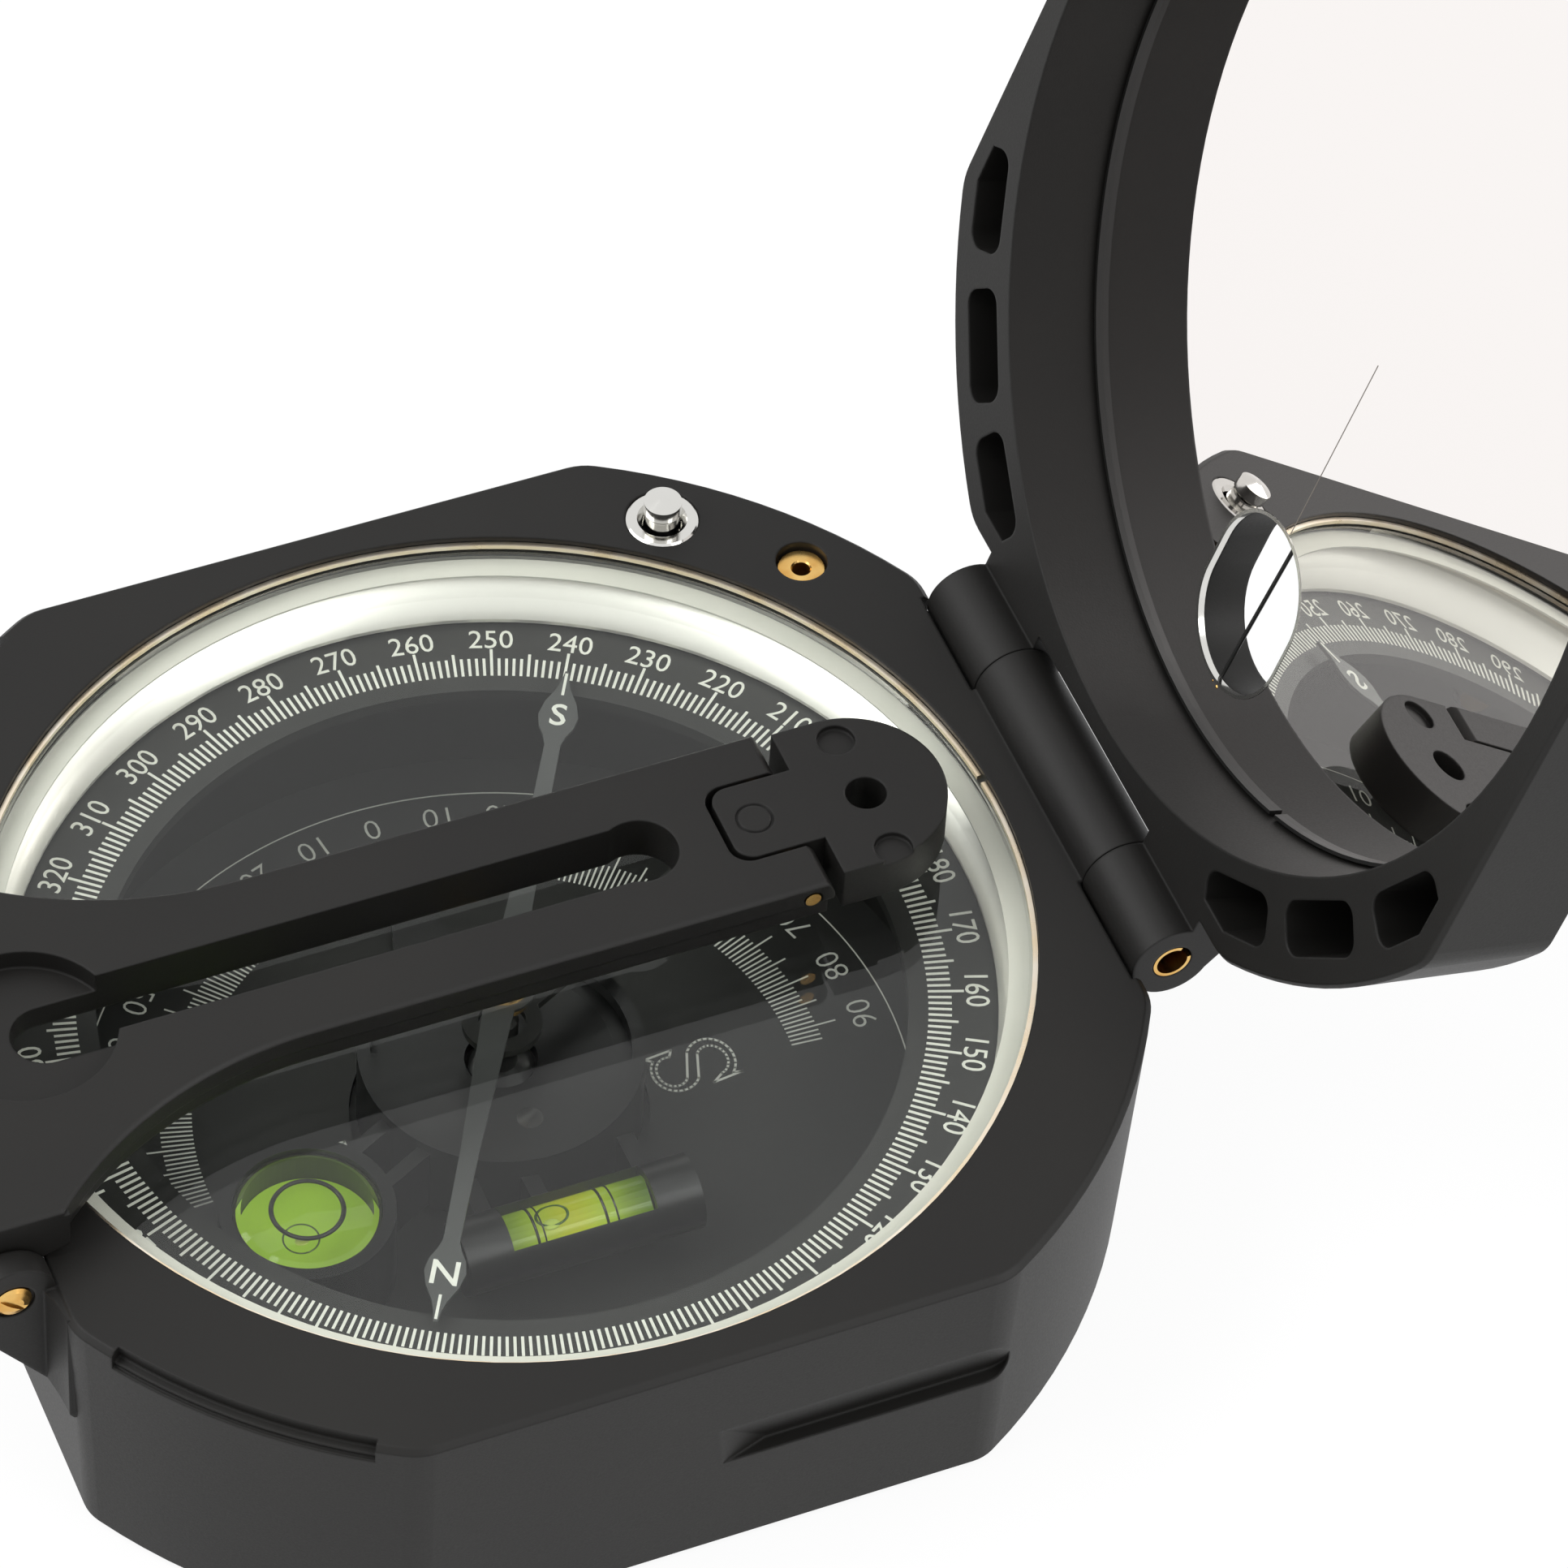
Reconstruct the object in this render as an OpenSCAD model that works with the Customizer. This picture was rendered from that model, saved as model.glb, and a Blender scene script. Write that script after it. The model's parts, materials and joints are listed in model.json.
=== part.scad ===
// Pocket survey compass with a mirror lid, a folding sight arm and a clinometer.
// The origin is on the dial pivot axis, at the flat underside of the case.
// +X points to the lid hinge, +Z points up through the glass.

/* [Case] */
// Width of the case between its two flat sides, at the top
case_w = 75.8; // [70:0.2:80]
// Distance from the dial axis to the flat side at the lid hinge
lid_side_x = 38.1; // [37:0.1:39.5]
// Distance from the dial axis to the flat side at the arm hinge
arm_side_x = 37.5; // [37:0.1:39]
// Radius of the four round corners of the outline, at the top
corner_r = 42.95; // [42:0.05:44]
// Radius where a flat side runs into a round corner
corner_ease = 4; // [2:0.5:6]
// Height of the case
case_h = 21; // [20:0.5:25]
// Bevel on the outer edges of the case
case_bevel = 0.4; // [0.2:0.1:1]
// How far the cast sides lean in towards the underside
case_draft = 0.85; // [0.3:0.05:1.2]
// Thickness of the floor of the case
floor_t = 1.4; // [0.8:0.1:1.7]

/* [Dial] */
// Height of the graduated ring's face above the underside
dial_z = 14.3; // [13.5:0.1:15.5]
// Inner radius of the graduated ring
ring_in_r = 27.05; // [25:0.1:29]
// Outer radius of the graduated ring
ring_out_r = 33.2; // [32.4:0.1:33.8]
// Half length of the needle
needle_r = 28.3; // [26:0.1:29]
// Radius of the bore that takes the glass and the snap ring
glass_bore_r = 35.35; // [35:0.05:36]
// Thickness of the glass
glass_t = 1.2; // [0.8:0.1:1.8]

/* [Clinometer] */
// Height of the clinometer frame's top face
frame_top_z = 8.7; // [8.2:0.1:9.5]
// Radius of the clinometer hub
hub_r = 9.7; // [9.5:0.1:10.4]
// Distance from the axis to the tube level
tube_y = 13.8; // [13.5:0.1:15]
// Distance from the axis to the round level
bull_dist = 19; // [18:0.1:20]
// Direction of the round level, in degrees
bull_dir = 206.6; // [204:0.2:212]
// Radius of the round level's housing
bull_r = 5.9; // [5:0.1:6.3]

/* [Lid] */
// Angle that the lid stands open, from closed
lid_open = 108.6; // [90:0.2:125]
// Distance from the dial axis to the lid hinge axis
lid_axis_x = 40.6; // [40:0.05:42]
// Depth of the lid hinge axis below the case's upper face
lid_axis_drop = 0.25; // [0:0.05:0.6]
// Width of the lid at its rim
lid_w = 74.8; // [72:0.2:76]
// Radius of the lid's round corners at its rim
lid_r = 42.35; // [41:0.05:43]
// How far the lid's sides lean in towards its outer face
lid_draft = 0.65; // [0.2:0.05:1.2]
// Distance from the hinge axis to the lid's outer face
lid_t = 11.3; // [10.5:0.1:13]
// Radius of the lid's inner wall
lid_bore_r = 35.1; // [34:0.1:36]
// Distance from the hinge axis to the mirror's face
mirror_depth = 7.6; // [7.2:0.1:8.2]
// Length of the sight window
window_l = 13.5; // [12:0.1:14.5]
// Width of the sight window
window_w = 10.8; // [9:0.1:12]
// Distance from the hinge axis to the middle of the sight window
window_u = 15.8; // [15:0.1:18]

/* [Sight arm] */
// Distance from the dial axis to the arm's hinge axis
arm_axis_x = 40.1; // [39.5:0.1:41.5]
// Depth of the arm's hinge axis below the case's upper face
arm_axis_drop = 0.5; // [0:0.05:0.8]
// Thickness of the sight arm
arm_t = 3.5; // [3:0.1:3.9]
// Height of the arm's upper face above the case
arm_rise = 4.55; // [4.3:0.05:5.5]
// Width of the narrow part of the arm
arm_w = 13.8; // [13:0.1:15]
// Width of the arm at its hinge
arm_base_w = 30.4; // [28:0.2:31]
// Width of the long slot in the arm
slot_w = 4.7; // [4.2:0.1:5.2]
// Distance from the dial axis to the peep sight's pin
peep_pin_x = 19.05; // [18:0.05:20]
// Diameter of the peep hole
peep_hole_d = 2.8; // [2:0.1:3.5]

/* [Hidden] */
$fn = 96;
near = 0.01;
run = 0.06;
air = 0.3;
half_w = case_w / 2;
top_z = case_h;
sight_y = -0.5;
// dial
ring_t = 1.5;
ring_ledge_z = dial_z - ring_t - 0.05;
chamber_r = 31.5;
plate_z = 2;
needle_z = dial_z + 0.75;
// glass and what holds it, down from the case's upper face
snap_t = 0.35;
snap_z0 = top_z - 0.8;
glass_z1 = snap_z0 - 0.05;
gasket_z1 = glass_z1 - glass_t;
liner_z1 = gasket_z1 - 0.15;
liner_z0 = dial_z + air;
seat_r = glass_bore_r - 1.05;
seal_lip = 0.85;
// lid and its hinge
lid_axis_z = top_z - lid_axis_drop;
lid_gap = 0.12;
lid_rim = lid_gap + lid_axis_drop;
lid_half_far = 38.1;
lid_hinge_face = 3.7;
hinge_r = 2.9;
hinge_bore = 1.35;
knuckle_y = 9.2;
hinge_y = 17.4;
pocket_mid_r = 38.45;
pocket_w = 3.7;
pocket_wall = 1.8;
window_in = 0.25;
window_rim_h = 0.45;
// sight arm, its hinge and the peep leaf
arm_axis_z = top_z - arm_axis_drop;
arm_z1 = top_z + arm_rise;
arm_z0 = arm_z1 - arm_t;
arm_up = arm_rise + arm_axis_drop;
arm_ledge = 1.7;
arm_inset = 0.5;
arm_bevel = 0.25;
arm_bend = 28;
arm_bend_x = -16;
arm_knuckle_r = 2.6;
lug_y0 = arm_base_w / 2 + 0.25;
lug_y1 = 17.3;
arm_pin_r = 1.1;
peep_z = arm_z1 - 1.3;
leaf_x = peep_pin_x + 2.35;
leaf_r = 6.4;
tongue_x = peep_pin_x - 2.35;
// lock pin, its lifter and the key bush
pin_at = [23.5, 30.85];
pin_r = 1.2;
pin_head_r = 1.32;
pin_up = 2.1;
collar_r = 2.6;
bush_at = [31.05, 23.9];
bush_r = 1.8;
lever_dir = 52.7;
lever_in_dir = 26;
lever_t = 0.6;
lever_z = dial_z - 3.2;
lever_r0 = chamber_r - 2.6;
lever_r1 = chamber_r - 0.4;
axle_dist = chamber_r + 1.4;
axle_r = 0.5;
pin_z0 = lever_z + lever_t + 0.35 + pin_up;
// screw that turns the graduated ring
screw_dir = 109;
screw_r = 0.8;
screw_head_r = 1.9;
screw_seat = 36.2;
roller_r = 1.3;
roller_z = ring_ledge_z - roller_r;
// clinometer
clino_swing = 88;
boss_r = hub_r - 0.86;
boss_z = plate_z + 4.5;
boss_wall = 1.4;
pocket_r = 7.4;
post_r = 1.5;
post_foot_r = 0.7;
drive_dist = 5.4;
drive_r = 0.9;
tube_r = 2.6;
tube_seat_r = 2;
tube_z = frame_top_z - tube_r;
bull_at = bull_dist * [cos(bull_dir), sin(bull_dir)];
bull_seat_r = bull_r - 0.9;

// The waste outside one eased corner, between a flat at distance f and the round
// part of radius r: what is left is a cone tangent to both
module corner_waste(f, r, e, h, d0, d1, b0, b1) {
  c = [sqrt(pow(r - e, 2) - pow(f - e, 2)), f - e];
  k = c * (r + 3) / (r - e);
  difference() {
    translate([0, 0, -1]) linear_extrude(h + 2) polygon([c, k, [c[0], k[1]]]);
    translate([c[0], c[1], 0]) rotate_extrude($fn = 96)
      polygon([[0, -0.2], [e - d0 - b0 - 0.2, -0.2], [e - d0 + (d0 - d1) * b0 / h, b0],
        [e - d1 - (d0 - d1) * b1 / h, h - b1], [e - d1 - b1 - 0.2, h + 0.2], [0, h + 0.2]]);
  }
}

// Side view of a drafted block: half sizes a and b, drawn in by d0 at the underside
// and by d1 at the top, with bevels b0 and b1
function drafted(a, b, h, d0, d1, b0, b1) = [
  [d0 + b0 - a, 0], [b - d0 - b0, 0], [b - d0 + (d0 - d1) * b0 / h, b0],
  [b - d1 - (d0 - d1) * b1 / h, h - b1], [b - d1 - b1, h],
  [d1 + b1 - a, h], [d1 + (d0 - d1) * b1 / h - a, h - b1], [d0 - (d0 - d1) * b0 / h - a, b0]];

// Block in the shape of the case and the lid: a round body cut by four flats,
// from z = 0 up to h
module outline_block(neg_l, pos_l, hw, r, e, h, d0, d1, b0, b1) {
  difference() {
    intersection() {
      rotate_extrude($fn = 180)
        polygon([[0, 0], [r - d0 - b0, 0], [r - d0 + (d0 - d1) * b0 / h, b0],
          [r - d1 - (d0 - d1) * b1 / h, h - b1], [r - d1 - b1, h], [0, h]]);
      rotate([90, 0, 90]) translate([0, 0, -60]) linear_extrude(120)
        polygon(drafted(hw, hw, h, d0, d1, b0, b1));
      rotate([90, 0, 0]) translate([0, 0, -60]) linear_extrude(120)
        polygon(drafted(neg_l, pos_l, h, d0, d1, b0, b1));
    }
    for (m = [0, 1], n = [0, 1]) mirror([m, 0, 0]) mirror([0, n, 0]) {
      corner_waste(hw, r, e, h, d0, d1, b0, b1);
      mirror([1, -1, 0]) corner_waste(m == 1 ? neg_l : pos_l, r, e, h, d0, d1, b0, b1);
    }
  }
}

module disc(r, z0, z1, at = [0, 0]) {
  translate([at[0], at[1], z0]) cylinder(r = r, h = z1 - z0, $fn = 96);
}

module ring(r0, r1, z0, z1, at = [0, 0]) {
  difference() {
    disc(r1, z0, z1, at);
    disc(r0, z0 - 1, z1 + 1, at);
  }
}

// Bar along Y about a hinge axis at x, z
module along_y(x, z, r, y0, y1) {
  translate([x, y1, z]) rotate([90, 0, 0]) cylinder(r = r, h = y1 - y0, $fn = 64);
}

// Wedge of the plane between two directions, as wide as w
module wedge(a0, a1, w = 60) {
  n = max(1, ceil((a1 - a0) / 40));
  polygon(concat([[0, 0]], [for (i = [0:n]) w * [cos(a0 + (a1 - a0) * i / n), sin(a0 + (a1 - a0) * i / n)]]));
}

// Curved slot with round ends, between two radii and two directions
module arc_slot(r0, r1, a0, a1, z0, z1) {
  c = (r0 + r1) / 2;
  e = (r1 - r0) / 2;
  d = asin(e / c);
  rotate([0, 0, a0 + d]) rotate_extrude(angle = a1 - a0 - 2 * d, $fn = 180)
    translate([r0, z0]) square([r1 - r0, z1 - z0]);
  for (a = [a0 + d, a1 - d]) rotate([0, 0, a]) translate([c, 0, z0])
    cylinder(r = e, h = z1 - z0, $fn = 48);
}

// Opens what is modelled closed, about the lid hinge
module lid_pose() {
  translate([lid_axis_x, 0, lid_axis_z]) rotate([0, lid_open, 0])
    translate([-lid_axis_x, 0, -lid_axis_z]) children();
}

// Groove for a clip in the flat side: a saw tooth section with a flat lower ledge,
// which runs out to a point at one end and stops at a wall at the other
module clip_groove() {
  z0 = top_z - 11.6;
  y0 = half_w - case_draft / 2;
  x1 = 21.1;
  intersection() {
    rotate([90, 0, 90]) linear_extrude(30)
      polygon([[1.2 - y0, z0], [0.3 - y0, z0 + 2.7], [-y0 - 0.1, z0 + 3.8], [-y0 - 2, z0 + 7],
        [-y0 - 2, z0]]);
    rotate([90, 0, 0]) linear_extrude(50) {
      translate([0, z0]) square([x1 - 1.3, 8]);
      translate([0, z0 + 1.3]) square([x1, 6.7]);
      translate([x1 - 1.3, z0 + 1.3]) circle(1.3, $fn = 48);
    }
    linear_extrude(40)
      polygon([[0.4, -y0 - 0.1], [0.4, -y0 - 3], [30, -y0 - 3], [30, 1.1 - y0], [4.2, 1.1 - y0]]);
  }
}

// Thumb groove round the corner, just under the upper edge
module edge_groove() {
  r = corner_r - 0.05;
  rotate_extrude($fn = 180)
    polygon([[r - 0.9, top_z - 1.05], [r - 0.25, top_z - 1.15], [r - 0.4, top_z - 1.5],
      [r + 0.7, top_z - 1.6], [r + 0.7, top_z + 0.3], [r - 0.66, top_z + 0.3]]);
}

// Side view of a lug that carries the sight arm
module lug_side()
  polygon([[1 - arm_side_x, top_z - 10.8], [1 - arm_side_x, top_z - near], [-arm_axis_x, arm_axis_z],
    [-arm_axis_x - 2.88, arm_axis_z - 0.3], [-arm_axis_x - 2.7, arm_axis_z - 1.8],
    [-arm_axis_x - 1.05, top_z - 5.1], [0.3 - arm_side_x, top_z - 10.6]]);

module base_case() color([0.21, 0.208, 0.2]) {
  difference() {
    union() {
      difference() {
        outline_block(arm_side_x, lid_side_x, half_w, corner_r, corner_ease, case_h, case_draft, 0,
          case_bevel, case_bevel);
        // scallops that clear the turning knuckles of the lid and the arm
        for (m = [0, 1]) mirror([0, m, 0])
          along_y(lid_axis_x, lid_axis_z, hinge_r + air, knuckle_y - 0.2, hinge_y + 0.6);
        along_y(-arm_axis_x, arm_axis_z, arm_knuckle_r + air, -lug_y0, lug_y0);
      }
      // middle knuckle of the lid hinge, with the web under it
      along_y(lid_axis_x, lid_axis_z, hinge_r, -knuckle_y + 0.1, knuckle_y - 0.1);
      translate([0, knuckle_y - 0.1, 0]) rotate([90, 0, 0]) linear_extrude(2 * knuckle_y - 0.2)
        polygon([[lid_side_x - 1.5, top_z - 8], [lid_side_x - 0.25, top_z - 7.6],
          [lid_axis_x + 2.2, lid_axis_z - 1.9], [lid_axis_x, lid_axis_z], [lid_side_x - 1.5, top_z - near]]);
      // two lugs that carry the sight arm, each with a swept foot
      for (m = [0, 1]) mirror([0, m, 0]) {
        along_y(-arm_axis_x, arm_axis_z, hinge_r, lug_y0, lug_y1);
        translate([0, lug_y1, 0]) rotate([90, 0, 0]) linear_extrude(lug_y1 - lug_y0) lug_side();
        intersection() {
          translate([0, lug_y1 + 3.4, 0]) rotate([90, 0, 0]) linear_extrude(3.9) lug_side();
          translate([0, 0, top_z - 12]) linear_extrude(11.8) difference() {
            translate([-arm_side_x - 0.8, lug_y1 - 0.3]) square([1.4, 3.1]);
            translate([-arm_side_x - 8.2, lug_y1 + 3]) circle(8.2, $fn = 180);
          }
        }
      }
    }
    // room for the needle, the levels and the graduated ring
    difference() {
      disc(chamber_r, floor_t, case_h + 5);
      disc(boss_r, 0, boss_z);
    }
    disc(ring_out_r + run, ring_ledge_z, case_h + 5);
    disc(glass_bore_r, liner_z0, case_h + 5);
    // pocket for the clinometer knob, with the slot for its drive pin
    disc(pocket_r, -1, boss_z - boss_wall);
    arc_slot(drive_dist - drive_r - 0.15, drive_dist + drive_r + 0.15, -103 - clino_swing,
      clino_swing - 77, 1, boss_z + 3);
    disc(post_r, 1, boss_z + 2);
    // lock pin, its collar, and the pocket and axle of the lifter
    disc(collar_r, top_z - 1, top_z + 1, pin_at);
    disc(collar_r - 0.7, lever_z + 1, top_z + 1, pin_at);
    rotate([0, 0, lever_dir]) translate([chamber_r - 3, -1.6, lever_z - 1])
      cube([12.9, 3.2, ring_ledge_z - lever_z + 1.1]);
    rotate([0, 0, lever_dir]) translate([axle_dist, 3.2, lever_z + lever_t / 2]) rotate([90, 0, 0])
      cylinder(r = axle_r, h = 6.4, $fn = 32);
    // setting screw: shank bore, head recess and the roller's room under the ring
    rotate([0, 0, screw_dir]) translate([0, 0, roller_z]) rotate([0, 90, 0]) {
      translate([0, 0, chamber_r - 1.5]) cylinder(r = screw_r + run, h = 14, $fn = 48);
      translate([0, 0, screw_seat]) cylinder(r = screw_head_r + air, h = 9, $fn = 48);
      translate([0, 0, chamber_r - 1.5]) cylinder(r = roller_r + 0.35, h = 3.3, $fn = 48);
    }
    // brass bush for the setting key, at the foot of its own bore
    disc(bush_r, top_z - 3.6, top_z + 1, bush_at);
    // hinge bores
    along_y(lid_axis_x, lid_axis_z, hinge_bore, -20, 20);
    along_y(-arm_axis_x, arm_axis_z, arm_pin_r, -20, 20);
    for (m = [0, 1]) mirror([0, m, 0]) {
      along_y(-arm_axis_x, arm_axis_z, arm_pin_r + 0.35, lug_y1 - 0.3, lug_y1 + 2);
      // grooves for the tripod clip and the thumb
      clip_groove();
      intersection() {
        edge_groove();
        linear_extrude(40) wedge(-146.5, -122);
      }
    }
  }
}

module dial_plate() color([0.23, 0.23, 0.225])
  ring(hub_r + 0.5, chamber_r - 0.02, floor_t, plate_z);

module azimuth_ring() color([0.25, 0.25, 0.24])
  difference() {
    ring(ring_in_r, ring_out_r, dial_z - ring_t, dial_z);
    // shallow step along the inner edge
    ring(ring_in_r - 1, ring_in_r + 0.7, dial_z - ring_t - 1, dial_z - 1);
  }

// Silver wall round the ring, a little wider upwards
module bezel_liner() color([0.86, 0.86, 0.8])
  rotate_extrude($fn = 180)
    polygon([[ring_out_r - 0.15, liner_z0], [glass_bore_r - 0.02, liner_z0], [glass_bore_r - 0.02, liner_z1],
      [seat_r, liner_z1], [(ring_out_r + seat_r) / 2 - 0.1, (liner_z0 + liner_z1) / 2 - 0.2],
      [ring_out_r - 0.15, liner_z0 + 0.3]]);

module crystal_gasket() color([0.8, 0.8, 0.76])
  ring(seat_r - seal_lip, glass_bore_r - 0.35, liner_z1, gasket_z1);

module crystal() color([0.85, 0.9, 0.9, 0.35])
  rotate_extrude($fn = 180)
    polygon([[0, gasket_z1], [glass_bore_r - 0.25, gasket_z1],
      [glass_bore_r - 0.25, glass_z1 - 0.35], [glass_bore_r - 0.6, glass_z1], [0, glass_z1]]);

module snap_ring() color([0.8, 0.6, 0.27])
  difference() {
    ring(glass_bore_r - 0.39, glass_bore_r - 0.05, snap_z0, snap_z0 + snap_t);
    rotate([0, 0, 3]) translate([30, -0.3, snap_z0 - 1]) cube([8, 0.6, 3]);
  }

module pivot_post() color([0.7, 0.7, 0.7])
  rotate_extrude($fn = 64)
    polygon([[0, 0], [post_foot_r - near, 0], [post_foot_r - near, boss_z - 3.6],
      [post_r - near, boss_z - 3.6], [post_r - near, boss_z],
      [2.2, boss_z], [2.2, boss_z + 0.5], [1.1, boss_z + 1],
      [1.1, needle_z - 3.2], [0.45, needle_z - 2.2], [0.05, needle_z + 0.35],
      [0, needle_z + 0.35]]);

// Outline with four equal quarters, from the points of one
function quartered(p) = concat([for (i = [len(p) - 1:-1:0]) p[i]], [for (q = p) [-q[0], q[1]]],
  [for (i = [len(p) - 1:-1:0]) [-p[i][0], -p[i][1]]], [for (q = p) [q[0], -q[1]]]);

module needle_blade() color([0.62, 0.63, 0.63])
  difference() {
    translate([0, 0, needle_z]) linear_extrude(0.25) rotate([0, 0, 60]) {
      polygon(quartered([[0.2, 1.1], [6, 0.9], [14, 0.62], [21.6, 0.55], [22.4, 0.8], [23.2, 1.2],
        [24.2, 1.38], [25.4, 1.1], [26.6, 0.5], [27.4, 0.28], [needle_r, 0.12]]));
      circle(2.2, $fn = 48);
    }
    disc(1.3, needle_z - 1, needle_z + 1);
  }

module needle_cap() color([0.72, 0.56, 0.28])
  rotate_extrude($fn = 64)
    polygon([[0, needle_z + 0.65], [0.4, needle_z + 0.35], [0.9, needle_z - 0.9], [1.8, needle_z - 0.9],
      [1.8, needle_z], [1.3, needle_z], [1.3, needle_z + 0.25], [1.7, needle_z + 0.25], [1.5, needle_z + 0.8],
      [0.8, needle_z + 1.15], [0, needle_z + 1.15]]);

module needle_balance() color([0.72, 0.56, 0.28])
  rotate([0, 0, 60]) translate([12, 0, needle_z + 0.125]) rotate([0, 90, 0]) difference() {
    cylinder(r = 0.95, h = 1.6, center = true, $fn = 32);
    cube([0.29, 1.55, 4], center = true);
  }

module pin_collar() color([0.85, 0.85, 0.86])
  translate([pin_at[0], pin_at[1], 0]) rotate_extrude($fn = 64)
    polygon([[pin_r + run, top_z - 5], [collar_r - 0.7, top_z - 5], [collar_r - 0.7, top_z - 1],
      [collar_r, top_z - 1], [collar_r, top_z - 0.1], [collar_r - 0.2, top_z + 0.05],
      [1.75, top_z + 0.05], [pin_head_r + 0.12, top_z - 0.3], [pin_head_r + 0.12, top_z - 1.5],
      [pin_r + run, top_z - 1.7]]);

// Pin with a separate looking head over a groove, and a shallow cone on the head
module lock_pin() color([0.88, 0.88, 0.89])
  translate([pin_at[0], pin_at[1], 0]) rotate_extrude($fn = 64)
    polygon([[0, pin_z0], [pin_r, pin_z0], [pin_r, top_z + pin_up - 1.4],
      [pin_r - 0.2, top_z + pin_up - 1.32], [pin_r - 0.2, top_z + pin_up - 1.22], [pin_head_r, top_z + pin_up - 1.18],
      [pin_head_r, top_z + pin_up - 0.3], [0.3, top_z + pin_up], [0, top_z + pin_up]]);

// A flat lever under the graduated ring: its tail lies below the lock pin, its
// fork lies round the pivot post, below the needle
module lifter_lever() color([0.3, 0.3, 0.3])
  difference() {
    union() {
      rotate([0, 0, lever_dir]) translate([axle_dist, 1.1, lever_z + lever_t / 2]) rotate([90, 0, 0])
        cylinder(r = 1, h = 2.2, $fn = 32);
      translate([0, 0, lever_z]) linear_extrude(lever_t) difference() {
        union() {
          rotate(lever_dir) translate([lever_r0, -1.1]) square([norm(pin_at) + 1.7 - lever_r0, 2.2]);
          rotate(lever_in_dir) translate([0, -0.8]) square([lever_r0 + 1.1, 1.6]);
          intersection() {
            difference() {
              circle(lever_r1, $fn = 180);
              circle(lever_r0, $fn = 180);
            }
            wedge(lever_in_dir - 1.5, lever_dir + 2);
          }
          circle(2.7, $fn = 48);
        }
        circle(1.6, $fn = 48);
      }
    }
    rotate([0, 0, lever_dir]) translate([axle_dist, 4, lever_z + lever_t / 2]) rotate([90, 0, 0])
      cylinder(r = axle_r + run, h = 8, $fn = 32);
  }

module lever_axle() color([0.6, 0.6, 0.6])
  rotate([0, 0, lever_dir]) translate([axle_dist, 3.2, lever_z + lever_t / 2]) rotate([90, 0, 0])
    cylinder(r = axle_r - near, h = 6.4, $fn = 32);

// Slotted screw in the side wall; the roller on its inner end turns the graduated ring
module setting_screw() color([0.8, 0.6, 0.27])
  rotate([0, 0, screw_dir]) translate([0, 0, roller_z]) rotate([0, 90, 0]) difference() {
    union() {
      translate([0, 0, chamber_r - 0.9]) cylinder(r = roller_r, h = 2.4, $fn = 48);
      translate([0, 0, chamber_r + 0.5]) cylinder(r = screw_r, h = 6, $fn = 48);
      translate([0, 0, screw_seat + 0.3]) cylinder(r = screw_head_r, h = 1.7, $fn = 48);
    }
    translate([-0.25, -3, screw_seat + 1.3]) cube([0.5, 6, 2]);
  }

module key_bush() color([0.8, 0.6, 0.27])
  translate([bush_at[0], bush_at[1], 0]) rotate_extrude($fn = 64)
    polygon([[0.62, top_z - 3.5], [bush_r - 0.02, top_z - 3.5], [bush_r - 0.02, top_z - 0.9],
      [bush_r - 0.2, top_z - 0.7], [0.72, top_z - 0.7], [0.62, top_z - 0.8]]);

// Turning frame of the clinometer: hub cup, tube level holder, round level cup
module clino_frame() color([0.17, 0.17, 0.17])
  difference() {
    union() {
      // hub cup that turns round the boss
      disc(hub_r, plate_z + 0.4, boss_z + 1.1);
      ring(hub_r - 0.9, hub_r, boss_z + 1, frame_top_z);
      // holder of the tube level
      translate([-8.35, -tube_y, tube_z]) rotate([0, 90, 0]) cylinder(r = tube_r, h = 16.7, $fn = 48);
      translate([-6.2, -tube_y - 0.6, plate_z + 0.5]) cube([12.4, 1.2, frame_top_z - plate_z - 4]);
      for (x = [-6.2, -2.2, 5]) translate([x, -tube_y, plate_z + 0.5])
        cube([1.2, tube_y - hub_r + 1.2, frame_top_z - plate_z - 2.2]);
      // cup of the round level, on two ribs
      disc(bull_r, plate_z + 0.5, frame_top_z + 0.4, bull_at);
      for (s = [-2.2, 1.2]) rotate([0, 0, bull_dir]) translate([hub_r - 1, s, plate_z + 0.5])
        cube([bull_dist - bull_r - hub_r + 2, 1, 5.4]);
      // index that reads on the scale
      translate([0, 0, plate_z + 0.4]) linear_extrude(0.8)
        polygon([[-4, hub_r - 1], [4, hub_r - 1], [0.6, 19.6], [0, 20.3], [-0.6, 19.6]]);
    }
    // bore that runs on the boss
    disc(boss_r + run, -1, boss_z + 0.1);
    disc(hub_r - 2, boss_z + 1.1 - near, frame_top_z + 1);
    disc(2.5, 0, boss_z + 3);
    translate([0, -drive_dist, 0]) cylinder(r = drive_r, h = boss_z + 3, $fn = 32);
    // seat and window of the tube level
    translate([-6, -tube_y, tube_z]) rotate([0, 90, 0]) cylinder(r = tube_seat_r, h = 12, $fn = 48);
    translate([-5.1, -tube_y - 1.9, tube_z]) cube([10.2, 3.8, 4]);
    // seat of the round level
    disc(bull_seat_r, plate_z + 2, frame_top_z + 1, bull_at);
  }

module tube_vial() color([0.62, 0.8, 0.25])
  translate([-5.9, -tube_y, tube_z]) rotate([0, 90, 0]) cylinder(r = tube_seat_r - 0.04, h = 11.8, $fn = 48);

module round_vial() color([0.62, 0.8, 0.25])
  translate([bull_at[0], bull_at[1], 0]) rotate_extrude($fn = 96)
    polygon([[0, plate_z + 2.02], [bull_seat_r - 0.04, plate_z + 2.02], [bull_seat_r - 0.04, frame_top_z],
      [bull_seat_r - 0.6, frame_top_z + 0.25], [0, frame_top_z + 0.35]]);

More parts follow.
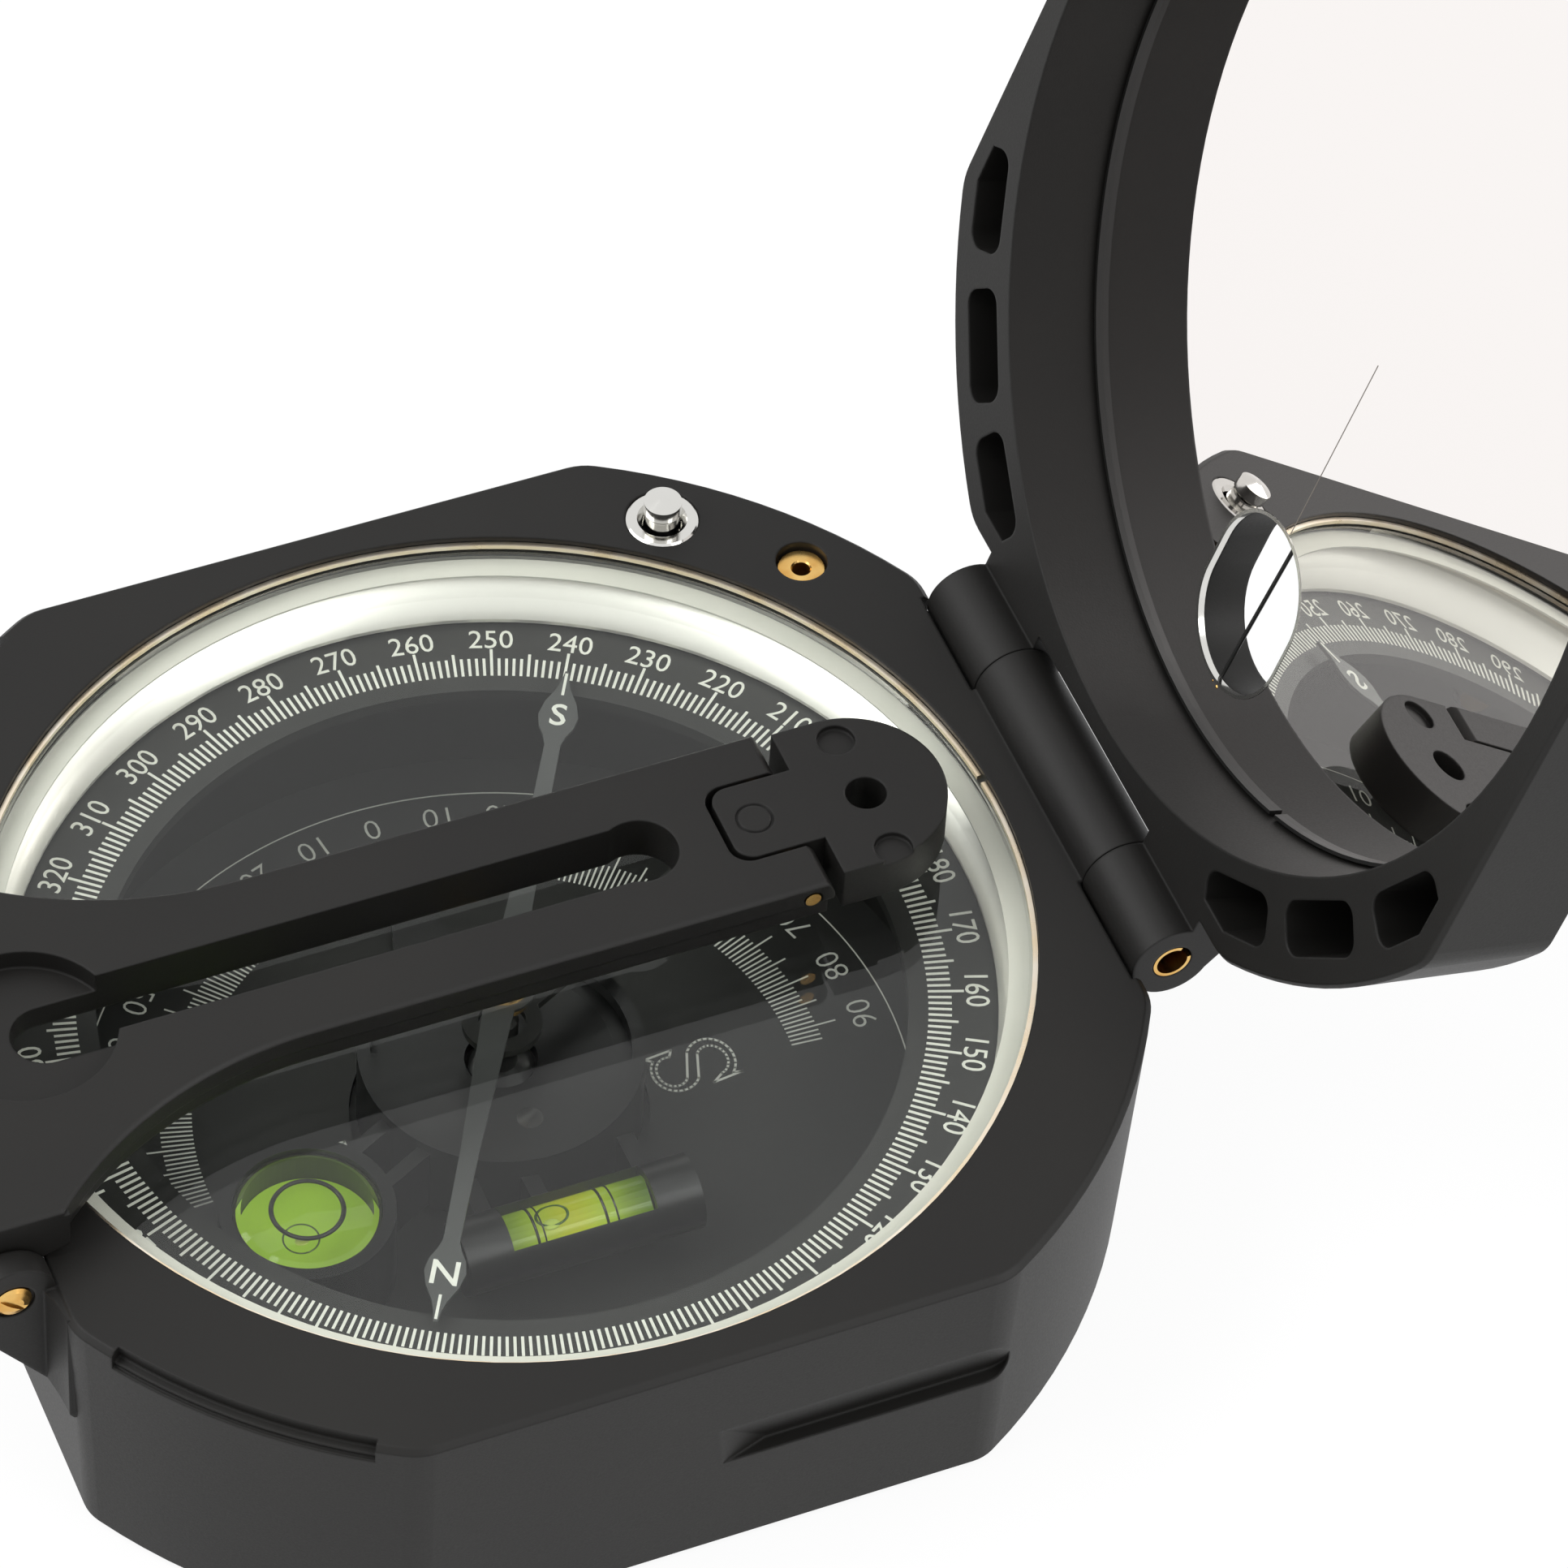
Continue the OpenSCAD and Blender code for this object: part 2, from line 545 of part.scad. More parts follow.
module clino_drive_pin() color([0.6, 0.6, 0.6])
  translate([0, -drive_dist, 1.2]) cylinder(r = drive_r - 0.01, h = boss_z + 1.1 - 1.2, $fn = 32);

module clino_knob() color([0.17, 0.17, 0.17])
  difference() {
    union() {
      disc(pocket_r - air, 2.4, boss_z - boss_wall - 0.15);
      // finger bar
      intersection() {
        disc(pocket_r - air, 0.3, 3);
        translate([-1.3, -9, 0.3]) cube([2.6, 18, 3]);
      }
    }
    disc(post_r + run, boss_z - 3.7, 8);
    disc(post_foot_r + run, -1, 8);
    translate([0, -drive_dist, 1.2]) cylinder(r = drive_r, h = 9, $fn = 32);
  }

// Split spring tube that joins the three knuckles
module lid_hinge_pin() color([0.8, 0.6, 0.27])
  difference() {
    along_y(lid_axis_x, lid_axis_z, hinge_bore - near, -hinge_y, hinge_y);
    along_y(lid_axis_x, lid_axis_z, hinge_bore - 0.25, -20, 20);
    translate([lid_axis_x, 20, lid_axis_z]) rotate([90, 0, 0]) linear_extrude(40) wedge(5, 60, 3);
  }

module rounded_rect(x, y, r) {
  translate([-x / 2 + r, -y / 2]) square([x - 2 * r, y]);
  translate([-x / 2, -y / 2 + r]) square([x, y - 2 * r]);
  for (m = [-1, 1], n = [-1, 1]) translate([m * (x / 2 - r), n * (y / 2 - r)]) circle(r, $fn = 32);
}

// Three lightening pockets in each corner of the lid's rim
module rim_pockets() {
  intersection() {
    for (m = [0, 1], n = [0, 1], q = [[m == 1 ? 33.2 : 31.2, m == 1 ? 5 : 7.4], [45.8, 7.8], [60.8, 7.3]])
      mirror([m, 0]) mirror([0, n]) rotate(q[0]) translate([pocket_mid_r, 0])
        rounded_rect(pocket_w, q[1], 1.2);
    translate([pocket_wall - lid_half_far, pocket_wall - lid_w / 2])
      square([lid_half_far + lid_axis_x - lid_hinge_face - 2 * pocket_wall, lid_w - 2 * pocket_wall]);
  }
}

module window_shape(l, w) {
  for (s = [-1, 1]) translate([s * (l - w) / 2, 0]) circle(w / 2, $fn = 64);
  translate([-(l - w) / 2, -w / 2]) square([l - w, w]);
}

module at_window() {
  translate([lid_axis_x - window_u, 0, lid_axis_z]) children();
}

module lid_shell() color([0.2, 0.197, 0.19])
  lid_pose() difference() {
    union() {
      difference() {
        translate([0, 0, lid_axis_z + lid_rim])
          outline_block(lid_half_far, lid_axis_x - lid_hinge_face, lid_w / 2, lid_r, corner_ease,
            lid_t - lid_rim, 0, lid_draft, 0.3, 1.2);
        disc(lid_bore_r, top_z - 1, lid_axis_z + mirror_depth + 2);
        // the lid clears the folded arm and its lugs here
        translate([-lid_half_far - 4, -lug_y1 - 0.5, top_z - 1])
          cube([17, 2 * lug_y1 + 1, arm_rise + 1.7]);
        translate([0, 0, top_z - 1]) linear_extrude(7.5) rim_pockets();
      }
      // collar through the mirror, round the sight window
      at_window() translate([0, 0, mirror_depth + window_rim_h + 0.02])
        linear_extrude(lid_t - mirror_depth - window_rim_h - 1)
        window_shape(window_l - 0.04, window_w - 0.04);
      // outer knuckles
      for (m = [0, 1]) mirror([0, m, 0]) {
        along_y(lid_axis_x, lid_axis_z, hinge_r, knuckle_y, hinge_y);
        translate([lid_axis_x, hinge_y, lid_axis_z]) rotate([90, 0, 0])
          linear_extrude(hinge_y - knuckle_y)
          polygon([[0, 0], [0.8, 2.75], [-lid_hinge_face - 1, 5.6], [-lid_hinge_face - 1, lid_rim],
            [-2.2, lid_rim]]);
      }
    }
    at_window() linear_extrude(20)
      window_shape(window_l - 2 * window_in, window_w - 2 * window_in);
    along_y(lid_axis_x, lid_axis_z, hinge_bore + run, -20, 20);
  }

module mirror_pad() color([0.12, 0.12, 0.12])
  lid_pose() difference() {
    disc(lid_bore_r - 0.5, lid_axis_z + mirror_depth + 1.7, lid_axis_z + mirror_depth + 2);
    at_window() linear_extrude(20) window_shape(window_l + 0.04, window_w + 0.04);
  }

module mirror_glass() color([0.9, 0.9, 0.9])
  lid_pose() difference() {
    disc(lid_bore_r - 0.2, lid_axis_z + mirror_depth, lid_axis_z + mirror_depth + 1.7);
    at_window() linear_extrude(20) window_shape(window_l + 0.04, window_w + 0.04);
  }

// Thin split ring in the corner between the mirror and the lid's wall
module mirror_ring() color([0.1, 0.1, 0.1])
  lid_pose() difference() {
    translate([0, 0, lid_axis_z + mirror_depth]) rotate_extrude($fn = 180)
      polygon([[lid_bore_r - 0.45, -0.5], [lid_bore_r - 0.2, -0.5], [lid_bore_r - 0.03, -0.25],
        [lid_bore_r - 0.03, 0], [lid_bore_r - 0.45, 0]]);
    rotate([0, 0, -20]) translate([32, -0.3, top_z]) cube([6, 0.6, 9]);
  }

module window_rim() color([0.85, 0.85, 0.86])
  lid_pose() at_window() difference() {
    translate([0, 0, mirror_depth - 0.03]) linear_extrude(window_rim_h + 0.03)
      window_shape(window_l, window_w);
    linear_extrude(20) window_shape(window_l - 2 * window_in, window_w - 2 * window_in);
  }

// Hair from wall to wall of the window, a little deeper at its hinge end
module hairline() color([0.1, 0.1, 0.1])
  lid_pose() at_window() translate([0, sight_y, mirror_depth + 0.66]) rotate([0, 92.5, 0])
    cylinder(r = 0.15, h = window_l - 2 * window_in - 0.04, center = true, $fn = 16);

// Plan of the arm, drawn in by e
module arm_plan(e) {
  translate([3.1 - arm_axis_x, e - arm_w / 2]) square([peep_pin_x + 1.55 + arm_axis_x - 3.1, arm_w - 2 * e]);
  difference() {
    translate([-arm_axis_x - 1.7, e - arm_base_w / 2])
      square([arm_axis_x + 1.7 + arm_bend_x, arm_base_w - 2 * e]);
    for (s = [-1, 1]) {
      translate([arm_bend_x, s * (arm_w / 2 + arm_bend)]) circle(arm_bend + e, $fn = 180);
      translate([arm_bend_x - 4, s * (arm_w / 2 + 15) - 10]) square([6, 20]);
    }
  }
}

// What the bevel takes off the arm's upper edges, on the side of +Y
module arm_bevels() {
  b = arm_bevel;
  y = arm_w / 2;
  translate([arm_bend_x, y, arm_z1]) rotate([90, 0, 90]) linear_extrude(50)
    polygon([[-b, 0], [0.1, -b - 0.1], [1, 0], [1, 1], [-b, 1]]);
  translate([-arm_axis_x - 3, arm_base_w / 2, arm_z1]) rotate([90, 0, 90]) linear_extrude(30)
    polygon([[-b, 0], [0.1, -b - 0.1], [1, 0], [1, 1], [-b, 1]]);
  intersection() {
    translate([arm_bend_x, y + arm_bend, arm_z1]) rotate_extrude($fn = 180)
      polygon([[arm_bend - 1, 0], [arm_bend - 0.1, -b - 0.1], [arm_bend + b, 0], [arm_bend + b, 1],
        [arm_bend - 1, 1]]);
    translate([-arm_axis_x - 3, 0, arm_z1 - 1]) cube([arm_axis_x + 3 + arm_bend_x, 20, 3]);
  }
}

module sight_arm() color([0.2, 0.197, 0.19])
  difference() {
    union() {
      translate([0, 0, arm_z1 - arm_ledge]) linear_extrude(arm_ledge) arm_plan(0);
      translate([0, 0, arm_z0]) linear_extrude(arm_t - arm_ledge + near) arm_plan(arm_inset);
      // knuckle between the two lugs
      along_y(-arm_axis_x, arm_axis_z, arm_knuckle_r, -arm_base_w / 2, arm_base_w / 2);
      translate([-arm_axis_x, arm_base_w / 2, arm_axis_z]) rotate([90, 0, 0]) linear_extrude(arm_base_w)
        polygon([[-1.7, 1.9], [2.4, 0.9], [4.6, arm_up - arm_t], [4.6, arm_up - 0.5], [-1.7, arm_up - 0.5]]);
    }
    for (m = [0, 1]) mirror([0, m, 0]) arm_bevels();
    // long slot, its round ends and the round recess at the hinge
    translate([0, 0, arm_z0 - 1]) linear_extrude(9) {
      translate([8.2 - arm_axis_x, -slot_w / 2]) square([arm_axis_x - 8.2 + peep_pin_x - 9.45, slot_w]);
      translate([8.2 - arm_axis_x, 0]) circle(slot_w / 2, $fn = 48);
      translate([peep_pin_x - 9.65, 0]) circle(slot_w / 2 + 0.3, $fn = 48);
    }
    disc(6.2, arm_z1 - 1.6, arm_z1 + 1, [6.7 - arm_axis_x, 0]);
    // fork for the peep sight, with its pin bore
    translate([0, 0, arm_z0 - 1]) linear_extrude(9) {
      translate([tongue_x - 0.25, -3.4]) square([6, 6.8]);
      translate([tongue_x - 1.75, -1.9]) square([6, 3.8]);
      for (s = [-1, 1]) translate([tongue_x - 0.25, s * 1.9]) circle(1.5, $fn = 32);
    }
    along_y(peep_pin_x, peep_z, 0.7, -10, 10);
    difference() {
      translate([peep_pin_x, -10, arm_z0 - 1]) cube([5, 20, arm_t + 2]);
      along_y(peep_pin_x, peep_z, 1.55, -11, 11);
      translate([peep_pin_x - 1, -11, arm_z0 - 1]) cube([2.3, 22, 3.2]);
    }
    // hinge bore
    along_y(-arm_axis_x, arm_axis_z, arm_pin_r + run, -20, 20);
  }

// Hinge pin of the arm on the side of +Y, with a domed and slotted head in the lug's side
module arm_hinge_pin() {
  difference() {
    union() {
      along_y(-arm_axis_x, arm_axis_z, arm_pin_r - near, lug_y1 - 6, lug_y1 - 0.2);
      translate([-arm_axis_x, lug_y1 - 0.3, arm_axis_z]) rotate([-90, 0, 0]) rotate_extrude($fn = 48)
        polygon([[0, 0], [arm_pin_r + 0.15, 0], [arm_pin_r + 0.15, 0.25], [arm_pin_r - 0.1, 0.45],
          [arm_pin_r - 0.5, 0.58], [0, 0.64]]);
    }
    translate([-arm_axis_x, lug_y1 + 0.5, arm_axis_z]) rotate([0, 40, 0])
      cube([4, 0.8, 0.4], center = true);
  }
}

module arm_hinge_pin_near() color([0.8, 0.6, 0.27])
  mirror([0, 1, 0]) arm_hinge_pin();

module arm_hinge_pin_far() color([0.8, 0.6, 0.27])
  arm_hinge_pin();

module peep_leaf() color([0.2, 0.197, 0.19])
  difference() {
    union() {
      translate([0, 0, arm_z0]) linear_extrude(arm_t) {
        intersection() {
          translate([leaf_x + 3.2, 0]) circle(leaf_r, $fn = 96);
          translate([leaf_x, -8]) square([12, 16]);
        }
        translate([leaf_x, -leaf_r]) square([3.2, 2 * leaf_r]);
      }
      // tongue that lies in the fork
      translate([0, 0, peep_z - 0.75]) linear_extrude(2.05) {
        translate([tongue_x, -3.1]) square([leaf_x - tongue_x + 0.3, 6.2]);
        translate([tongue_x - 1.3, -1.8]) square([5, 3.6]);
        for (s = [-1, 1]) translate([tongue_x, s * 1.8]) circle(1.3, $fn = 32);
      }
      along_y(peep_pin_x, peep_z, 1.3, -3.1, 3.1);
      translate([peep_pin_x, -3.1, arm_z0]) cube([leaf_x - peep_pin_x + 0.6, 6.2, 2]);
    }
    along_y(peep_pin_x, peep_z, 0.6, -10, 10);
    disc(peep_hole_d / 2, arm_z0 - 1, arm_z1 + 1, [leaf_x + 4, sight_y]);
    // finger marks
    for (s = [-1, 1]) disc(1.3, arm_z1 - 0.45, arm_z1 + 1, [leaf_x + 3.9, sight_y + s * 5]);
    ring(1.1, 1.3, arm_z1 - 0.15, arm_z1 + 1, [tongue_x + 0.9, 0]);
  }

module peep_pin() color([0.8, 0.6, 0.27])
  along_y(peep_pin_x, peep_z, 0.55, -arm_w / 2, arm_w / 2);

base_case();
dial_plate();
azimuth_ring();
bezel_liner();
crystal_gasket();
crystal();
snap_ring();
pivot_post();
needle_blade();
needle_cap();
needle_balance();
pin_collar();
lock_pin();
lifter_lever();
lever_axle();
key_bush();
setting_screw();
clino_frame();
tube_vial();
round_vial();
clino_drive_pin();
clino_knob();
lid_hinge_pin();
lid_shell();
mirror_pad();
mirror_glass();
mirror_ring();
window_rim();
hairline();
sight_arm();
arm_hinge_pin_near();
arm_hinge_pin_far();
peep_leaf();
peep_pin();
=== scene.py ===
import json
import math

import bmesh
import bpy
from mathutils import Matrix, Quaternion, Vector


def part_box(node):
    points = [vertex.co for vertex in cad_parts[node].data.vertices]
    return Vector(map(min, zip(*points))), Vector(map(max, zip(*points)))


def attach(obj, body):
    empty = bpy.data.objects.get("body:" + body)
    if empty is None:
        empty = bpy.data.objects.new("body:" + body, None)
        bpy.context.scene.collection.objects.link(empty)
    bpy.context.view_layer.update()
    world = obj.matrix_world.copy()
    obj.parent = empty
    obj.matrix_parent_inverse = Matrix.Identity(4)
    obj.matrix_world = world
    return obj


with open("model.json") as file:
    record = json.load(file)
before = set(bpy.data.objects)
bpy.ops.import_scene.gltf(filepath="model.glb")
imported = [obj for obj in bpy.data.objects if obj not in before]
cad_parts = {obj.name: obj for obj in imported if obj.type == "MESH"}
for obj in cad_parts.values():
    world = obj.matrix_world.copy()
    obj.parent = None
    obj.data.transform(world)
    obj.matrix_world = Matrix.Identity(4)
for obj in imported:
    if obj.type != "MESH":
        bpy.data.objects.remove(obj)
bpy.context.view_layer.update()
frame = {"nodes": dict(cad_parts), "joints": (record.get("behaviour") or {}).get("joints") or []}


# Camera
# A long lens looks down on the compass from its near left corner, as in a catalogue
# picture. Its place and turn were fitted to the degree marks and the case's edges.

MM = 0.001

scene = bpy.context.scene
scene.view_settings.view_transform = "Standard"

lens = bpy.data.cameras.new("camera")
lens.sensor_width = 36.0
lens.lens = 195.4
lens.clip_start = 0.05
lens.clip_end = 10.0
camera = bpy.data.objects.new("camera", lens)
camera.rotation_mode = "QUATERNION"
camera.location = Vector((-136.83, -331.89, 453.82)) * MM
camera.rotation_quaternion = Quaternion((0.9211366, 0.3371139, -0.0874974, -0.1737983))
scene.collection.objects.link(camera)
scene.camera = camera


# Lamps and room
# Two large soft lamps stand to the far left and the near right in a pale room. The room
# is white where it is seen, straight or in glass and metal, and lights things less.

ROOM_LIGHT = 0.62


def paint(code):
    """A linear colour from an sRGB hex code such as "1c1b1a"."""
    parts = [int(code[i:i + 2], 16) / 255 for i in (0, 2, 4)]
    return [c / 12.92 if c <= 0.04045 else ((c + 0.055) / 1.055) ** 2.4 for c in parts] + [1.0]


def add(tree, kind, inputs, **options):
    """Adds one node: options set its own fields, inputs its sockets, by value or by link."""
    node = tree.nodes.new(kind)
    for key, value in options.items():
        setattr(node, key, value)
    for key, value in inputs.items():
        if isinstance(value, bpy.types.NodeSocket):
            tree.links.new(value, node.inputs[key])
        else:
            node.inputs[key].default_value = value
    return node


def softbox(name, side, power, place, target):
    """A square lamp, with its side in metres and its power in watts, turned to a point."""
    data = bpy.data.lights.new(name, "AREA")
    data.shape = "SQUARE"
    data.size = side
    data.energy = power
    made = bpy.data.objects.new(name, data)
    made.location = place
    made.rotation_euler = (Vector(target) - Vector(place)).to_track_quat("-Z", "Y").to_euler()
    scene.collection.objects.link(made)


def in_plain_sight(tree):
    """Is 1 for a look from the camera, through glass or in a gloss, and 0 for light on things."""
    ray = add(tree, "ShaderNodeLightPath", {})
    straight = add(tree, "ShaderNodeMath", {0: ray.outputs["Is Camera Ray"],
                                            1: ray.outputs["Is Transmission Ray"]}, operation="MAXIMUM")
    seen = add(tree, "ShaderNodeMath", {0: straight.outputs[0], 1: ray.outputs["Is Glossy Ray"]},
               operation="MAXIMUM")
    return seen.outputs[0]


softbox("softbox_left", side=0.9, power=9.0, place=(-0.75, 0.25, 0.95), target=(0, 0, 0))
softbox("softbox_right", side=0.8, power=6.0, place=(0.65, -0.65, 0.8), target=(0, 0, 0.02))

world = bpy.data.worlds.new("white_room")
world.use_nodes = True
tree = world.node_tree
tree.nodes.clear()
strength = add(tree, "ShaderNodeMapRange", {"Value": in_plain_sight(tree), "To Min": ROOM_LIGHT,
                                            "To Max": 1.0})
sky = add(tree, "ShaderNodeBackground", {"Color": paint("ffffff"), "Strength": strength.outputs[0]})
add(tree, "ShaderNodeOutputWorld", {"Surface": sky.outputs[0]})
scene.world = world


# Floor
# A wide board in white matt paint, a hair below the case's foot. Where it is seen it glows,
# so that it meets the white room without an edge, and it keeps the compass's shadow.

FLOOR_HALF = 3.0
FLOOR_DROP = 0.2


def blank(name):
    """A new material with an empty node tree."""
    made = bpy.data.materials.new(name)
    made.use_nodes = True
    made.node_tree.nodes.clear()
    return made, made.node_tree


floor_mesh = bpy.data.meshes.new("floor")
shape = bmesh.new()
bmesh.ops.create_grid(shape, x_segments=1, y_segments=1, size=FLOOR_HALF)
bmesh.ops.translate(shape, verts=shape.verts, vec=(0, 0, -FLOOR_DROP * MM))
shape.to_mesh(floor_mesh)
shape.free()
floor = bpy.data.objects.new("floor", floor_mesh)
scene.collection.objects.link(floor)

floor_paint, tree = blank("white_floor_paint")
matt = add(tree, "ShaderNodeBsdfDiffuse", {"Color": paint("c8c8c8")})
lit = add(tree, "ShaderNodeBsdfDiffuse", {"Color": paint("606060")})
glow = add(tree, "ShaderNodeEmission", {"Color": paint("ffffff"), "Strength": 0.9})
both = add(tree, "ShaderNodeAddShader", {0: lit.outputs[0], 1: glow.outputs[0]})
mixed = add(tree, "ShaderNodeMixShader", {0: in_plain_sight(tree), 1: matt.outputs[0], 2: both.outputs[0]})
add(tree, "ShaderNodeOutputMaterial", {"Surface": mixed.outputs[0]})
floor_mesh.materials.append(floor_paint)


# Case, lid and arm
# Die-cast aluminium, machined, then sprayed with a matt black coat. The coat has a fine
# sandy grain, varies a little in tone, and catches the light along rounded edges.

COAT_GRAIN = 0.15
COAT_PIT = 0.05
COAT_CLOUD = 50 / 3
COAT_EDGE = 0.25


def dress(material, *names):
    """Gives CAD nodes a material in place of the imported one."""
    for name in names:
        slots = frame["nodes"][name].data.materials
        slots.clear()
        slots.append(material)


black_coat, tree = blank("matt_black_coat_on_cast_aluminium")
place = add(tree, "ShaderNodeTexCoord", {}).outputs["Object"]
cloud = add(tree, "ShaderNodeTexNoise", {"Vector": place, "Scale": 1 / (COAT_CLOUD * MM), "Detail": 4.0})
tone = add(tree, "ShaderNodeValToRGB", {"Fac": cloud.outputs["Fac"]})
tone.color_ramp.elements[0].position = 0.3
tone.color_ramp.elements[0].color = paint("151413")
tone.color_ramp.elements[1].position = 0.7
tone.color_ramp.elements[1].color = paint("1a1917")
sand = add(tree, "ShaderNodeTexNoise", {"Vector": place, "Scale": 1 / (COAT_GRAIN * MM), "Detail": 2.0})
rough = add(tree, "ShaderNodeMapRange", {"Value": sand.outputs["Fac"], "To Min": 0.42, "To Max": 0.58})
edge = add(tree, "ShaderNodeBevel", {"Radius": COAT_EDGE * MM}, samples=4)
bump = add(tree, "ShaderNodeBump", {"Strength": 0.12, "Distance": COAT_PIT * MM,
                                    "Height": sand.outputs["Fac"], "Normal": edge.outputs[0]})
coat = add(tree, "ShaderNodeBsdfPrincipled", {"Base Color": tone.outputs["Color"], "Metallic": 0.0,
                                              "Roughness": rough.outputs[0], "IOR": 1.5,
                                              "Specular IOR Level": 0.3, "Normal": bump.outputs[0]})
add(tree, "ShaderNodeOutputMaterial", {"Surface": coat.outputs[0]})
dress(black_coat, "base_case", "lid_shell", "sight_arm", "peep_leaf", "clino_knob")


# Brass pieces
# Turned brass, bright and bare: the hinge tube and pins, the bush, the setting screw, and
# the cap and balance weight of the needle. It tarnishes a little, in small patches.

BRASS_PATCH = 2.5

brass, tree = blank("turned_brass")
place = add(tree, "ShaderNodeTexCoord", {}).outputs["Object"]
patch = add(tree, "ShaderNodeTexNoise", {"Vector": place, "Scale": 1 / (BRASS_PATCH * MM), "Detail": 3.0})
tone = add(tree, "ShaderNodeValToRGB", {"Fac": patch.outputs["Fac"]})
tone.color_ramp.elements[0].position = 0.35
tone.color_ramp.elements[0].color = paint("d09a4c")
tone.color_ramp.elements[1].position = 0.65
tone.color_ramp.elements[1].color = paint("ecc67c")
rough = add(tree, "ShaderNodeMapRange", {"Value": patch.outputs["Fac"], "To Min": 0.18, "To Max": 0.32})
metal = add(tree, "ShaderNodeBsdfPrincipled", {"Base Color": tone.outputs["Color"], "Metallic": 1.0,
                                               "Roughness": rough.outputs[0]})
add(tree, "ShaderNodeOutputMaterial", {"Surface": metal.outputs[0]})
dress(brass, "key_bush", "lid_hinge_pin", "arm_hinge_pin_near", "arm_hinge_pin_far", "peep_pin",
      "setting_screw", "needle_cap", "needle_balance")


# Snap ring
# Hard drawn brass wire, bright gilt, sprung into the case over the glass. It shines almost
# white where it faces the light, and gold where it turns away.

GILT_PATCH = 10 / 3

gilt, tree = blank("gilt_brass_wire")
place = add(tree, "ShaderNodeTexCoord", {}).outputs["Object"]
patch = add(tree, "ShaderNodeTexNoise", {"Vector": place, "Scale": 1 / (GILT_PATCH * MM), "Detail": 2.0})
tone = add(tree, "ShaderNodeValToRGB", {"Fac": patch.outputs["Fac"]})
tone.color_ramp.elements[0].position = 0.35
tone.color_ramp.elements[0].color = paint("f4e0c0")
tone.color_ramp.elements[1].position = 0.65
tone.color_ramp.elements[1].color = paint("fdf3e2")
rough = add(tree, "ShaderNodeMapRange", {"Value": patch.outputs["Fac"], "To Min": 0.22, "To Max": 0.34})
metal = add(tree, "ShaderNodeBsdfPrincipled", {"Base Color": tone.outputs["Color"], "Metallic": 1.0,
                                               "Roughness": rough.outputs[0]})
add(tree, "ShaderNodeOutputMaterial", {"Surface": metal.outputs[0]})
dress(gilt, "snap_ring")


# Nickel plated pieces
# Bright nickel on brass: the lock pin and its collar, the rim of the sight window, the
# lifter's axle and the drive pin. A faint haze keeps it from shining like a mirror.

NICKEL_HAZE = 10 / 9

nickel, tree = blank("bright_nickel_plate")
place = add(tree, "ShaderNodeTexCoord", {}).outputs["Object"]
haze = add(tree, "ShaderNodeTexNoise", {"Vector": place, "Scale": 1 / (NICKEL_HAZE * MM), "Detail": 2.0})
rough = add(tree, "ShaderNodeMapRange", {"Value": haze.outputs["Fac"], "To Min": 0.08, "To Max": 0.18})
metal = add(tree, "ShaderNodeBsdfPrincipled", {"Base Color": paint("d9d8d4"), "Metallic": 1.0,
                                               "Roughness": rough.outputs[0]})
add(tree, "ShaderNodeOutputMaterial", {"Surface": metal.outputs[0]})
dress(nickel, "lock_pin", "pin_collar", "window_rim", "lever_axle", "clino_drive_pin")


# Silver inner bezel
# A spun ring of bare aluminium, satin, with turning rings drawn coarser than they are so
# that they show. Spinning leaves its inner wall hollow, so that it catches the light from
# above, most of all near its top.

TURNING_RING = 1.0472
WAVES_PER_UNIT = 20 / math.tau
HOLLOW_FOOT, HOLLOW_TOP = 5.0, 1.2

silver, tree = blank("spun_aluminium_bezel")
geometry = add(tree, "ShaderNodeTexCoord", {})
place = geometry.outputs["Object"]
turned = add(tree, "ShaderNodeTexWave", {"Vector": place, "Distortion": 0.4,
                                         "Scale": 1 / (WAVES_PER_UNIT * TURNING_RING * MM)},
             wave_type="RINGS", rings_direction="Z")
rough = add(tree, "ShaderNodeMapRange", {"Value": turned.outputs["Fac"], "To Min": 0.3, "To Max": 0.4})
bezel_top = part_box("bezel_liner")[1][2]
height = add(tree, "ShaderNodeSeparateXYZ", {"Vector": place}).outputs["Z"]
hollow = add(tree, "ShaderNodeMapRange", {"Value": height, "From Min": bezel_top - HOLLOW_FOOT * MM,
                                          "From Max": bezel_top - HOLLOW_TOP * MM,
                                          "To Min": 0.0, "To Max": 0.9})
upward = add(tree, "ShaderNodeCombineXYZ", {"Z": hollow.outputs[0]})
lean = add(tree, "ShaderNodeVectorMath", {0: geometry.outputs["Normal"], 1: upward.outputs[0]},
           operation="ADD")
lean = add(tree, "ShaderNodeVectorMath", {0: lean.outputs[0]}, operation="NORMALIZE")
metal = add(tree, "ShaderNodeBsdfPrincipled", {"Base Color": paint("f6f4ec"), "Metallic": 0.85,
                                               "Roughness": rough.outputs[0], "Normal": lean.outputs[0]})
add(tree, "ShaderNodeOutputMaterial", {"Surface": metal.outputs[0]})
dress(silver, "bezel_liner")


# Glass
# A flat ground disc. Light passes straight through it, so that the dial stays as bright as
# it is in a room. The thin pane hardly bends a sight line, so its index is low, and a clear
# coat of polish gives the reflection, with smears too faint to blur it.

PANE_INDEX, POLISH_INDEX = 1.1, 1.34
SMEAR = 100 / 3


def as_light(tree):
    """Is 1 for light on its way to a surface, by shadow rays and scattered rays, else 0."""
    ray = add(tree, "ShaderNodeLightPath", {})
    either = add(tree, "ShaderNodeMath", {0: ray.outputs["Is Shadow Ray"], 1: ray.outputs["Is Diffuse Ray"]},
                 operation="MAXIMUM")
    return either.outputs[0]


